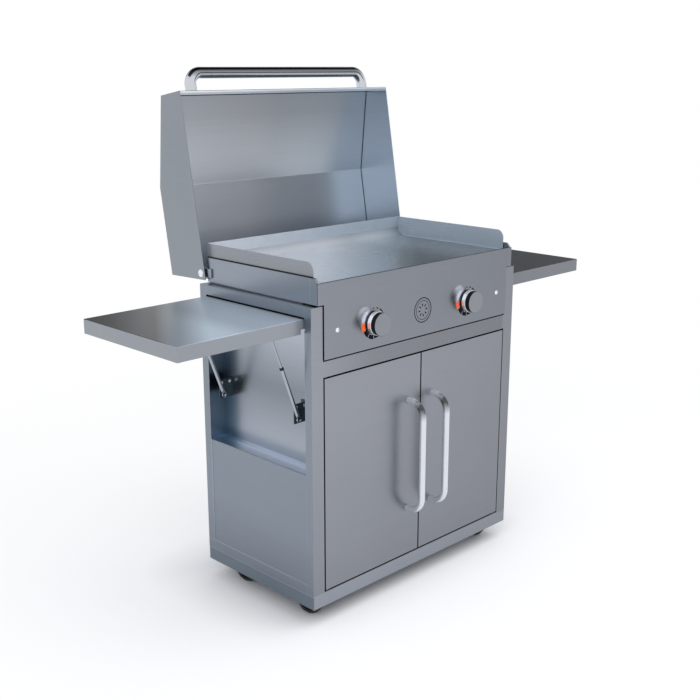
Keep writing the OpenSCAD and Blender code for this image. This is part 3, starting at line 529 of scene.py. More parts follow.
# Skirt, cart top frame and back panel: a painted highlight along the skirt's top edge, the sides
# painted darker than the front, the front darker towards the right, and a painted teal reflection
# on the left side.
SKIRT_STEEL = BrushedSteel(
    "brushed_steel_skirt",
    (0.35, 0.375, 0.42),
    teal=Tone(ACROSS, -390.0, -388.0, 0.8, 0.0),
    tones=(
        Tone(UP, 34.4, 34.8, 1.0, 1.5),
        Tone(ACROSS, -390.0, -388.0, 0.53, 0.90),
        Tone(ACROSS, -380.0, 380.0, 1.0, 0.80),
        Tone(ACROSS, 388.0, 390.0, 1.0, 0.72),
    ),
)
# Side panels and griddle body: painted shade towards the bottom, the cart's sides painted darker
# than the griddle body above them, the griddle body's top edge painted dark as painted shadow under
# the splash guard, and painted highlight lines along the set-in panel's lower edge and the recess's
# front and back edges.
SIDE_STEEL = BrushedSteel(
    "brushed_steel_side",
    (0.300, 0.340, 0.400),
    brush=Brush.ALONG_Y,
    tones=(
        Tone(UP, 36.0, 190.0, 0.80, 1.0),
        Tone(UP, 770.0, 780.0, 0.83, 0.97),
        dim_from(UP, 841.0, 841.5, 0.3),
        thin_line(UP, 61.0, 1.25),
        thin_line(BACK, 23.5, 1.2),
        thin_line(BACK, 397.5, 1.2),
    ),
)
# Shelf recesses: a painted teal reflection and painted shade towards the back, a painted light band
# at the floor, painted shade through the middle height that lightens again towards the top, and the
# top under the shelf painted almost black as painted shadow.
RECESS_STEEL = BrushedSteel(
    "brushed_steel_recess",
    (0.41, 0.452, 0.52),
    brush=Brush.ALONG_Y,
    teal=Tone(BACK, 330.0, 390.0, 0.0, 1.0),
    tones=(
        Tone(BACK, 356.0, 398.0, 1.0, 0.62),
        Tone(UP, 356.5, 359.0, 1.5, 1.0),
        Tone(UP, 380.0, 520.0, 0.95, 0.59),
        Tone(UP, 540.0, 680.0, 1.0, 1.75),
        dim_from(UP, 743.0, 746.0, 0.02),
    ),
)
# Lid end caps: the left cap painted darker and the right lighter, and a painted teal reflection
# towards the right.
CAP_STEEL = BrushedSteel(
    "brushed_steel_caps",
    (0.56, 0.61, 0.68),
    brush=Brush.ALONG_Y,
    teal=Tone(ACROSS, -300.0, 300.0, 0.0, 0.25),
    tones=(Tone(ACROSS, -370.0, 370.0, 0.50, 1.35),),
)
# Splash guard: a painted teal reflection towards the right, its left outside painted darker, darker
# towards the right, its rear wall painted lighter on the left like the plate, and a painted shadow
# along the left outside's lower edge.
GUARD_STEEL = BrushedSteel(
    "brushed_steel_guard",
    (0.56, 0.60, 0.67),
    "light_steel",
    Brush.ALONG_Y,
    roughness=0.27,
    contrast=0.02,
    depth=0.000002,
    metallic=0.35,
    teal=Tone(ACROSS, -200.0, 200.0, 0.0, 0.5),
    tones=(
        dim_to(ACROSS, -363.0, -361.8, 0.50),
        Tone(ACROSS, -300.0, 362.0, 1.0, 0.86),
        Gated(open_from(BACK, 414.0, 420.0), Tone(ACROSS, -300.0, 330.0, 1.12, 0.92)),
        Gated(open_to(ACROSS, -363.2, -362.8), dim_to(UP, 843.0, 844.5, 0.1)),
    ),
)
# Shelves: on the left top, a painted teal reflection, a painted dark reflection towards the outer
# back corner, painted lighter towards the outer end and a painted shadow at the root; the right
# shelf's top painted almost black and the whole right shelf darker; rims and undersides painted
# darker.
SHELF_STEEL = BrushedSteel(
    "brushed_steel_shelf",
    (0.56, 0.60, 0.67),
    brush=Brush.ALONG_Y,
    roughness=0.32,
    contrast=0.03,
    depth=0.000003,
    metallic=0.45,
    teal=Tone(UP, 744.2, 745.4, 0.0, 0.6),
    tones=(
        Gated(
            open_from(UP, 744.2, 745.4),
            dim_to((0.827, -0.562, 0.0), -680.0, -560.0, 0.03),
            Tone(ACROSS, -600.0, -530.0, 1.0, 0.74),
            dim_from(ACROSS, -392.6, -391.6, 0.08),
        ),
        dim_to(UP, 743.8, 745.2, 0.50),
        Tone(ACROSS, 390.0, 400.0, 1.0, 0.68),
    ),
)
# Griddle plate: painted shade and a painted teal reflection towards the front right, and painted
# light along the right guard.
PLATE_WAY = (0.7, -0.7, 0.0)
PLATE_PAINTED_TEAL = Tone(PLATE_WAY, -260.0, -40.0, 0.0, 0.7)
PLATE_PAINTED_LIGHT = (Tone(PLATE_WAY, -260.0, 0.0, 1.0, 0.18), Tone(ACROSS, 150.0, 330.0, 1.0, 1.9))
PLATE_STEEL = BrushedSteel(
    "ground_steel_plate",
    (0.50, 0.54, 0.60),
    "light_steel",
    Brush.ALONG_Y,
    roughness=0.27,
    contrast=0.02,
    depth=0.000002,
    metallic=0.3,
    teal=PLATE_PAINTED_TEAL,
    tones=PLATE_PAINTED_LIGHT,
)
# Rear cove: a darker copy of the plate's colour, as painted shade, with the plate's painted light
# and shade and teal reflection.
COVE_STEEL = BrushedSteel(
    "ground_steel_cove",
    (0.36, 0.3888, 0.432),
    "light_steel",
    roughness=0.6,
    contrast=0.02,
    depth=0.000002,
    metallic=0.0,
    teal=PLATE_PAINTED_TEAL,
    tones=PLATE_PAINTED_LIGHT,
)
# Control panel: darker towards the right, its folds painted almost black as painted shadow in the
# gaps, its lower edge painted dark, a bright patch up and left of each knob as a painted reflection
# of the knob's chrome, and a painted dark patch further left.
PANEL_STEEL = BrushedSteel(
    "brushed_steel_panel",
    (0.32, 0.34, 0.385),
    "light_steel",
    tones=(
        Tone(ACROSS, -370.0, 370.0, 0.86, 0.70),
        Gated(NEAR_FRONT, dim_from(BACK, -2.9, -2.6, 0.02)),
        dim_to(UP, 643.8, 644.3),
        Spot((-216.0, -3.0, 729.0), 26.0, 5.0),
        Spot((144.0, -3.0, 731.0), 26.0, 5.0),
        Spot((-240.0, -3.0, 720.0), 22.0, 0.4),
        Spot((122.0, -3.0, 727.0), 22.0, 0.4),
    ),
)
# Lid: a painted teal reflection towards the right, darker towards the right, a painted highlight
# along its front lip, and its lower part, as it stands open, painted lighter.
LID_STEEL = BrushedSteel(
    "brushed_steel_lid",
    (0.39, 0.41, 0.45),
    teal=Tone(ACROSS, -60.0, 160.0, 0.0, 0.35),
    tones=(
        Tone(ACROSS, -280.0, 20.0, 0.94, 0.76),
        Gated(open_to(BACK, 500.0, 503.0), Tone(UP, 1247.0, 1248.5, 1.0, 2.5)),
        Tone(UP, 1040.0, 1190.0, 1.50, 1.0),
    ),
)
INNER_STEEL = BrushedSteel(
    "mill_steel", (0.24, 0.25, 0.27), "inner_steel", Brush.ALONG_Y, roughness=0.36
)
FACE_STEEL = BrushedSteel("satin_knob_face", (0.28, 0.295, 0.325), "chrome", Brush.ALL_ROUND)
# Door handles: the top of each bar, out in front of the door, painted dark as a painted dark
# reflection.
TUBE_STEEL = PolishedSteel(
    "polished_tube",
    (0.72, 0.75, 0.81),
    roughness=0.2,
    metallic=0.7,
    tones=(Gated(open_to(BACK, -44.0, -24.0), dim_from(UP, 432.0, 462.0, 0.10)),),
)
# Lid handle: painted darker towards its top, as a painted dark reflection.
BAR_STEEL = PolishedSteel(
    "polished_lid_bar",
    (0.60, 0.63, 0.68),
    tones=(dim_from(UP, 1304.0, 1310.0, 0.24), Tone(UP, 1292.0, 1302.0, 1.06, 0.50)),
)
# Bright trim for knob bands, screws and bolts: polished steel whose base colour is far lighter than
# the tubes', partly real polish and partly painted light so that it reads bright.
BRIGHT_TRIM = PolishedSteel("bright_trim", (0.93, 0.95, 0.97), metallic=0.7)
STRUT_STEEL = PolishedSteel("satin_strut", (0.42, 0.45, 0.49), "light_steel", 0.26)
BRASS = PolishedSteel("machined_brass", (0.52, 0.38, 0.16), "brass", 0.28)
BLACK_COAT = Coating(
    "black_powder_coat", (0.006, 0.0065, 0.008), "black_coat", 0.45, depth=0.00004, shine=0.3
)
KNOB_BLACK = Coating("black_knob_grip", (0.003, 0.004, 0.005), "chrome", 0.3, 300.0, 0.00002, 0.2)
BLACK_RUBBER = Coating(
    "black_rubber", (0.004, 0.0042, 0.005), "black_rubber", 0.72, depth=0.00005, shine=0.15
)
BRACKET_COAT = Coating("dark_bracket_coat", (0.016, 0.034, 0.044), "bracket_dark", 0.36)
CERAMIC = Coating("white_ceramic", (0.78, 0.77, 0.73), "ceramic", 0.35)
INK_BLACK = Coating("black_ink", (0.003, 0.003, 0.004), "light_steel", 0.6, 400.0, 0.00001, 0.08)
INK_ORANGE = Coating("orange_ink", (0.86, 0.115, 0.022), "light_steel", 0.45, 400.0, 0.00001)


class Side(Enum):
    """A side of the cart, by the sign of its x."""

    LEFT = -1
    RIGHT = 1

    def __str__(self) -> str:
        """The side's name, as nodes and bodies have it."""
        return self.name.lower()

    def mirror(self) -> Matrix:
        """Takes what is drawn on the right to this side."""
        return Matrix.Diagonal((self.value, 1.0, 1.0, 1.0))


class End(Enum):
    """The cart's front or rear half, by the sign of its y from the middle."""

    FRONT = -1
    REAR = 1

    def __str__(self) -> str:
        """The end's name, as nodes and bodies have it."""
        return self.name.lower()

    def mirror(self, depth: float) -> Matrix:
        """Takes what is drawn in the front half to this end of a cart of some depth."""
        turn = Matrix.Translation((0, depth, 0)) @ Matrix.Diagonal((1.0, -1.0, 1.0, 1.0))
        return turn if self is End.REAR else STILL


def facing(axis: str) -> Matrix:
    """Turn by a quarter about an axis: X faces z to the front, Y to the right."""
    return Matrix.Rotation(math.radians(QUARTER), 4, axis)


def put(name: str, data: bpy.types.ID) -> bpy.types.Object:
    """Makes an object and puts it in the scene.

    Args:
        name: Its name.
        data: Its mesh, light or camera.

    Returns:
        The object.
    """
    made = bpy.data.objects.new(name, data)
    bpy.context.collection.objects.link(made)
    return made


class Form:
    """A mesh in the making, in the cart's millimetres.

    X runs from the middle to the right, y from the front face back, and z up from the
    skirt's lower edge.
    """

    def __init__(self) -> None:
        """Starts an empty mesh."""
        self.mesh = bmesh.new()

    def move(self, verts: list, matrix: Matrix) -> list:
        """Places some vertices by a matrix, and gives them back."""
        bmesh.ops.transform(self.mesh, matrix=matrix, verts=verts)
        return verts

    def shift(self, verts: list, by: Point) -> None:
        """Moves some vertices by a vector."""
        self.move(verts, Matrix.Translation(by))

    def line(self, points: Iterable[Point]) -> tuple[list, list]:
        """Adds a line through some points and gives its vertices and edges."""
        verts = [self.mesh.verts.new(point) for point in points]
        return verts, [self.mesh.edges.new(pair) for pair in zip(verts, verts[1:])]

    def set_outwards(self) -> None:
        """Turns the faces of closed shapes outwards."""
        bmesh.ops.recalc_face_normals(self.mesh, faces=self.mesh.faces[:])

    def block(self, low: Point, high: Point) -> list:
        """Adds a box between two corners.

        Args:
            low: Its lowest corner.
            high: Its highest corner.

        Returns:
            Its vertices.
        """
        verts = bmesh.ops.create_cube(self.mesh, size=1.0)["verts"]
        size = Vector(high) - Vector(low)
        middle = (Vector(high) + Vector(low)) / 2
        return self.move(verts, Matrix.Translation(middle) @ Matrix.Diagonal((*size, 1.0)))

    def sheet(self, low: Point, high: Point, way: Point) -> None:
        """Starts a flat sheet, as the one face of a block that looks its way.

        Args:
            low: Its lowest corner.
            high: Its highest corner.
            way: The way that it looks.
        """
        corners = list(zip(low, high, Vector(high) - Vector(way) * BLANK))
        self.block([min(places) for places in corners], [max(places) for places in corners])
        wanted = self.looking(way)
        self.drop([face for face in self.mesh.faces if face not in wanted])

    def spin(self, geom: list, centre: Point, axis: Point, degrees: float, steps: int) -> list:
        """Turns vertices and edges about an axis, joined to themselves after a full turn.

        Args:
            geom: What is turned.
            centre: A point on the axis.
            axis: The axis.
            degrees: How far it turns.
            steps: How many steps make the turn.

        Returns:
            The edges at the turn's end.
        """
        last = bmesh.ops.spin(
            self.mesh,
            geom=geom,
            cent=Vector(centre),
            axis=Vector(axis),
            angle=math.radians(degrees),
            steps=steps,
            use_merge=degrees == FULL_TURN,
        )["geom_last"]
        return [item for item in last if isinstance(item, bmesh.types.BMEdge)]

    def rod(self, start: Point, end: Point, radius: float, sides: int) -> list:
        """Adds a round bar between two points.

        Args:
            start: Middle of one end.
            end: Middle of the other end.
            radius: Its radius.
            sides: How many sides approximate the round.

        Returns:
            Its vertices.
        """
        along = Vector(end) - Vector(start)
        round_size = {"radius1": radius, "radius2": radius, "segments": sides}
        verts = bmesh.ops.create_cone(
            self.mesh, cap_ends=True, depth=along.length, **round_size
        )["verts"]
        turn = along.to_track_quat("Z", "Y").to_matrix().to_4x4()
        return self.move(verts, Matrix.Translation((Vector(end) + Vector(start)) / 2) @ turn)

    def lathe(self, profile: Iterable[tuple[float, float]], place: Matrix, steps: int) -> None:
        """Turns a profile round its axis.

        Args:
            profile: Radius and height of each point, from one end to the other.
            place: Where the turned piece's own z axis goes.
            steps: How many steps make the full turn.
        """
        before = set(self.mesh.verts)
        verts, edges = self.line((radius, 0.0, height) for radius, height in profile)
        self.spin(verts + edges, ZERO, UP, FULL_TURN, steps)
        made = [vert for vert in self.mesh.verts if vert not in before]
        bmesh.ops.remove_doubles(self.mesh, verts=made, dist=WELD)
        made = [vert for vert in self.mesh.verts if vert not in before]
        faces = list({face for vert in made for face in vert.link_faces})
        bmesh.ops.recalc_face_normals(self.mesh, faces=faces)
        self.move(made, place)

    def bow(
        self, start: Point, way: Point, sizes: tuple[float, float, float, float], sides: int
    ) -> None:
        """Draws a round tube that stands out to the front, runs along and turns back.

        Args:
            start: Middle of the tube's first end.
            way: Direction from the first end to the last, of length one.
            sizes: Distance of the ends, reach to the front, radius of bends and of the tube.
            sides: How many sides approximate the round.
        """
        span, reach, bend, radius = sizes
        out, along = Vector(FRONT), Vector(way)
        straight = out * (reach - bend)
        corner = Vector(start) + straight
        ring = bmesh.ops.create_circle(self.mesh, cap_ends=False, segments=sides, radius=radius)
        turn = out.to_track_quat("Z", "Y").to_matrix().to_4x4()
        self.move(ring["verts"], Matrix.Translation(start) @ turn)
        rim = self.mesh.edges[:]
        for leg, centre in (
            (straight, corner + along * bend),
            (along * (span - 2 * bend), corner + along * (span - bend)),
        ):
            rim = self.spin(self.pull(rim, leg), centre, out.cross(along), QUARTER, BEND_STEPS)
        self.pull(rim, -straight)
        bmesh.ops.holes_fill(self.mesh, edges=self.mesh.edges[:], sides=sides)
        self.set_outwards()

    def copy_of(self, node: str) -> None:
        """Takes over a node's shape, merged into whole faces.

        Args:
            node: The node's name.
        """
        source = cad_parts[node]
        self.mesh.from_mesh(source.data)
        self.move(self.mesh.verts[:], CART_TO_ROW.inverted() @ source.matrix_world)
        bmesh.ops.remove_doubles(self.mesh, verts=self.mesh.verts[:], dist=COPY_WELD)
        bmesh.ops.dissolve_limit(
            self.mesh,
            angle_limit=math.radians(FLAT_WITHIN),
            verts=self.mesh.verts[:],
            edges=self.mesh.edges[:],
        )

    def faces_at(self, test: Callable[[Vector], bool]) -> list:
        """Faces for whose middle a test holds."""
        return [face for face in self.mesh.faces if test(face.calc_center_median())]

    def looking(self, *ways: Point) -> list:
        """Finds faces by the way that they look.

        Args:
            ways: One or more directions.

        Returns:
            The faces that look one of these ways.
        """
        self.mesh.normal_update()
        aims = [Vector(way) for way in ways]
        return [
            face for face in self.mesh.faces if any(face.normal.dot(aim) > AIMED for aim in aims)
        ]

    def edges_at(self, test: Callable[[Vector, Vector], bool]) -> list:
        """Edges for which a test of their middle and of the way between their ends holds."""
        ends = ((edge, edge.verts[0].co, edge.verts[1].co) for edge in self.mesh.edges)
        return [edge for edge, a, b in ends if test((a + b) / 2, b - a)]

    def corners(self, least: float = 35.0) -> list:
        """Finds the edges at which the surface turns.

        Args:
            least: The least turn, in degrees.

        Returns:
            The edges that turn by more.
        """
        self.mesh.normal_update()
        limit = math.radians(least)
        return [edge for edge in self.mesh.edges if edge.calc_face_angle(0.0) > limit]

    def drop(self, faces: list) -> None:
        """Deletes faces, with the edges and corners that only they used."""
        bmesh.ops.delete(self.mesh, geom=faces, context="FACES")

    def cut(self, way: Point, *places: float) -> None:
        """Divides every face across a direction, at some places along it.

        Args:
            way: The direction, of length one.
            places: Where the cuts go.
        """
        for place in places:
            everything = self.mesh.verts[:] + self.mesh.edges[:] + self.mesh.faces[:]
            plane = {"plane_co": Vector(way) * place, "plane_no": Vector(way)}
            bmesh.ops.bisect_plane(self.mesh, geom=everything, dist=WELD, **plane)

    def pull(self, edges: list, by: Point) -> list:
        """Folds new strips off some edges.

        Args:
            edges: The edges that the strips start from.
            by: How far the strips reach.

        Returns:
            The edges at the strips' far side.
        """
        grown = bmesh.ops.extrude_edge_only(self.mesh, edges=edges)["geom"]
        self.shift([item for item in grown if isinstance(item, bmesh.types.BMVert)], by)
        return [item for item in grown if isinstance(item, bmesh.types.BMEdge)]

    def thicken(self, faces: list, by: Point) -> None:
        """Makes a solid of flat faces.

        Args:
            faces: The faces.
            by: How far they are drawn out.
        """
        grown = bmesh.ops.extrude_face_region(self.mesh, geom=faces)["geom"]
        self.shift([item for item in grown if isinstance(item, bmesh.types.BMVert)], by)
        self.set_outwards()

    def inset(self, faces: list, width: float) -> None:
        """Sets some faces in from their outline by a width."""
        bmesh.ops.inset_region(self.mesh, faces=faces, thickness=width, use_even_offset=True)

    def lip(self, faces: list, width: float) -> None:
        """Turns faces into a lip of a given width round a hole."""
        self.inset(faces, width)
        self.drop(faces)

    def round_off(self, edges: list, width: float, segments: int = 3) -> None:
        """Rounds edges.

        Args:
            edges: The edges.
            width: How far the rounding reaches from each edge.
            segments: How many strips make the round.
        """
        bmesh.ops.bevel(
            self.mesh,
            geom=edges,
            offset=width,
            offset_type="OFFSET",
            affect="EDGES",
            segments=segments,
            profile=0.5,
            clamp_overlap=True,
            material=-1,
        )

    def face_towards(self, way: Point) -> None:
        """Turns an open sheet's faces all to one side.

        Args:
            way: Where its largest face shall look.
        """
        self.set_outwards()
        self.mesh.normal_update()
        aim = Vector(way)
        largest = max(
            self.mesh.faces, key=lambda face: face.calc_area() * abs(face.normal.dot(aim))
        )
        if largest.normal.dot(aim) < 0:
            bmesh.ops.reverse_faces(self.mesh, faces=self.mesh.faces[:])


@dataclass
class SubAssembly:
    """Common ground of the sub-assemblies: the pieces made so far."""

    pieces: list = field(default_factory=list, init=False)

    def add(
        self,
        form: Form,
        name: str,
        body: str,
        finish: Finish,
        *nodes: str,
        wall: float = 0.0,
        place: Matrix = STILL,
    ) -> None:
        """Finishes a mesh as a piece of the object.

        Args:
            form: The mesh.
            name: The piece's name.
            body: The body that it moves with.
            finish: Its finish.
            nodes: The nodes that it stands for.
            wall: Thickness given to an open sheet, inwards, in millimetres.
            place: Where the drawn mesh goes, in the cart's millimetres.
        """
        matrix = CART_TO_ROW @ place
        form.move(form.mesh.verts[:], matrix)
        if matrix.determinant() < 0:
            bmesh.ops.reverse_faces(form.mesh, faces=form.mesh.faces[:])
        creases = set(form.corners(least=36.0))
        for face in form.mesh.faces:
            face.smooth = True
        for edge in form.mesh.edges:
            edge.smooth = edge not in creases
        data = bpy.data.meshes.new(name)
        form.mesh.to_mesh(data)
        form.mesh.free()
        data.materials.append(finish.material())
        made = put(name, data)
        if wall:
            shell = made.modifiers.new("wall", "SOLIDIFY")
            shell.thickness = wall * MILLIMETRE
            shell.offset = -1.0
            shell.use_even_offset = True
        flats = made.modifiers.new("flat_faces", "WEIGHTED_NORMAL")
        flats.keep_sharp = True
        flats.weight = 80
        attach(made, body)
        if nodes:
            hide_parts(*nodes)
        self.pieces.append(made)

    def softened(self, node: str, body: str, finish: Finish, width: float) -> None:
        """Makes a node's shape again with its edges eased.

        Args:
            node: The node's name.
            body: The body that it moves with.
            finish: Its finish.
            width: How far the easing reaches from each edge.
        """
        form = Form()
        form.copy_of(node)
        form.round_off(form.corners(), width, 2)
        self.add(form, f"{node}_eased", body, finish, node)

    def make(self) -> None:
        """Makes the pieces; each sub-assembly has its own way."""
        raise NotImplementedError

    def build(self) -> list:
        """Makes the sub-assembly and gives its pieces."""
        self.make()
        return self.pieces


@dataclass
class CartShell(SubAssembly):
    """Skirt, front frame, side panels and shelf recesses."""

    half_width: float = 390.0
    depth: float = 423.0
    skirt: float = 36.0
    flange: float = 20.0
    skirt_round: float = 1.6
    top: float = 773.0
    sheet: float = 1.5
    fold: float = 1.0
    opening: float = 352.0
    sill: float = 38.0
    rail_low: float = 600.0
    rail_high: float = 640.0
    return_depth: float = 20.0
    wrap: float = 1.6
    recess_front: float = 24.5
    recess_back: float = 398.5
    recess_floor: float = 355.0
    recess_inner_floor: float = 349.0
    recess_top: float = 750.0
    recess_roof: float = 760.0
    recess_x: float = 339.0
    inset: float = 2.0
    inset_low: float = 62.0
    inset_slope: float = 1.2

    def base_skirt(self) -> None:
        """The band round the base, with its flange turned in at the top."""
        form = Form()
        form.block((-self.half_width, 0, 0), (self.half_width, self.depth, self.skirt))
        form.drop(form.looking(DOWN))
        form.lip(form.looking(UP), self.flange)
        form.round_off(form.corners(), self.skirt_round)
        form.face_towards(FRONT)
        self.add(form, "skirt_band", "cart", SKIRT_STEEL, "base_skirt", wall=self.sheet)

    def front_frame(self) -> None:
        """Posts and rail from one sheet, folded back round both openings and the corners."""
        form = Form()
        wide, low, high = self.opening, self.rail_low, self.rail_high
        form.sheet((-self.half_width, 0, self.skirt), (self.half_width, 0, self.top), FRONT)
        form.cut(ACROSS, -wide, wide)
        form.cut(UP, self.sill, low, high)
        form.drop(
            form.faces_at(
                lambda at: abs(at.x) < wide and (self.sill < at.z < low or at.z > high)
            )
        )
        sides = form.edges_at(
            lambda at, span: close(span.x, 0)
            and close(abs(at.x), wide)
            and at.z > self.sill
            and not low < at.z < high
        )
        across = form.edges_at(
            lambda at, span: close(span.z, 0)
            and self.sill - TOLERANCE < at.z < high + TOLERANCE
            and abs(at.x) < wide
        )
        corners = form.edges_at(
            lambda at, span: close(span.x, 0) and close(abs(at.x), self.half_width)
        )
        form.pull(sides + across, (0, self.return_depth, 0))
        form.pull(corners, (0, self.wrap, 0))
        rails = [edge for edge in across if edge.verts[0].co.z > low - TOLERANCE]
        form.round_off(sides + rails + corners, self.fold)
        form.face_towards(FRONT)
        name = "front_frame"
        self.add(form, f"{name}_folded", "cart", FRONT_STEEL, name, wall=self.sheet)

    def recessed(self, form: Form, low: float, high: float) -> list:
        """Faces of a side sheet between the recess's two sides and between two heights."""
        front, back = self.recess_front, self.recess_back
        return form.faces_at(lambda at: front < at.y < back and low < at.z < high)

    def side_panel(self, side: Side) -> None:
        """A side sheet round the recess, with its lower panel set in.

        Args:
            side: Its side.
        """
        form = Form()
        x = self.half_width
        form.sheet((x, self.wrap, self.skirt), (x, self.depth, self.top), ACROSS)
        form.cut(BACK, self.recess_front, self.recess_back)
        form.cut(UP, self.inset_low, self.recess_floor, self.recess_top)
        form.drop(self.recessed(form, self.recess_floor, self.recess_top))
        lower = self.recessed(form, self.inset_low, self.recess_floor)
        form.inset(lower, self.inset_slope)
        form.shift(list({vert for face in lower for vert in face.verts}), (-self.inset, 0, 0))
        form.round_off(form.corners(least=20.0), width=0.5, segments=2)
        form.face_towards(ACROSS)
        more = {"wall": self.sheet, "place": side.mirror()}
        self.add(form, f"{side}_side_sheet", "cart", SIDE_STEEL, f"{side}_side_panel", **more)

    def recess(self, side: Side) -> None:
        """The pan that the folded shelf hangs in, with rounded folds.

        Args:
            side: Its side.
        """
        form = Form()
        form.block(
            (self.recess_x, self.recess_front, self.recess_floor),
            (self.half_width - self.sheet, self.recess_back, self.recess_roof),
        )
        low = [
            vert
            for vert in form.mesh.verts
            if close(vert.co.x, self.recess_x) and close(vert.co.z, self.recess_floor)
        ]
        form.shift(low, (0, 0, self.recess_inner_floor - self.recess_floor))
        form.drop(form.looking(ACROSS))
        form.round_off(form.corners(), width=0.6, segments=2)
        bmesh.ops.reverse_faces(form.mesh, faces=form.mesh.faces[:])
        more = {"wall": self.sheet, "place": side.mirror()}
        self.add(form, f"{side}_recess_pan", "cart", RECESS_STEEL, f"{side}_recess_liner", **more)

    def make(self) -> None:
        """Makes the cart's outer pieces."""
        self.base_skirt()
        self.front_frame()
        for side in Side:
            self.side_panel(side)
            self.recess(side)
        self.softened("cart_top_frame", "cart", SKIRT_STEEL, width=0.7)


@dataclass
class Doors(SubAssembly):
    """The two door pans and their handles."""

    inner_x: float = 1.5
    outer_x: float = 349.0
    low: float = 41.0
    high: float = 597.0
    thickness: float = 18.0
    lip: float = 20.0
    sheet: float = 1.5
    fold: float = 1.0
    hinge_in: float = 20.0
    hinge_height: float = 12.0
    handle_x: float = 46.5
    handle_low: float = 174.0
    handle_span: float = 303.0
    handle_out: float = 51.0
    handle_bend: float = 40.0
    handle_radius: float = 9.0

    def door(self, side: Side) -> None:
        """A folded pan with lips behind, and a block at each hinge corner.

        Args:
            side: Its side.
        """
        form = Form()
        form.block((self.inner_x, 0, self.low), (self.outer_x, self.thickness, self.high))
        form.lip(form.looking(BACK), self.lip)
        form.round_off(form.corners(), self.fold)
        form.face_towards(FRONT)
        body, place = f"{side}_door", side.mirror()
        self.add(form, f"{body}_pan", body, DOOR_STEEL, body, wall=self.sheet, place=place)
        blocks = Form()
        height = self.hinge_height - self.sheet
        for low in (self.low + self.sheet, self.high - self.hinge_height):
            blocks.block(
                (self.outer_x - self.hinge_in, self.sheet, low),
                (self.outer_x - self.sheet, self.thickness - self.sheet, low + height),
            )
        blocks.round_off(blocks.corners(), width=0.8, segments=2)
        self.add(blocks, f"{body}_hinge_blocks", body, INNER_STEEL, place=place)

    def handle(self, side: Side) -> None:
        """A tube bent round at both ends.

        Args:
            side: Its side.
        """
        form = Form()
        sizes = (self.handle_span, self.handle_out, self.handle_bend, self.handle_radius)
        form.bow((self.handle_x * side.value, 0, self.handle_low), UP, sizes, sides=40)
        node = f"{side}_door_handle"
        self.add(form, f"{node}_tube", f"{side}_door", TUBE_STEEL, node)

    def make(self) -> None:
        """Makes both doors and both handles."""
        for side in Side:
            self.door(side)
            self.handle(side)


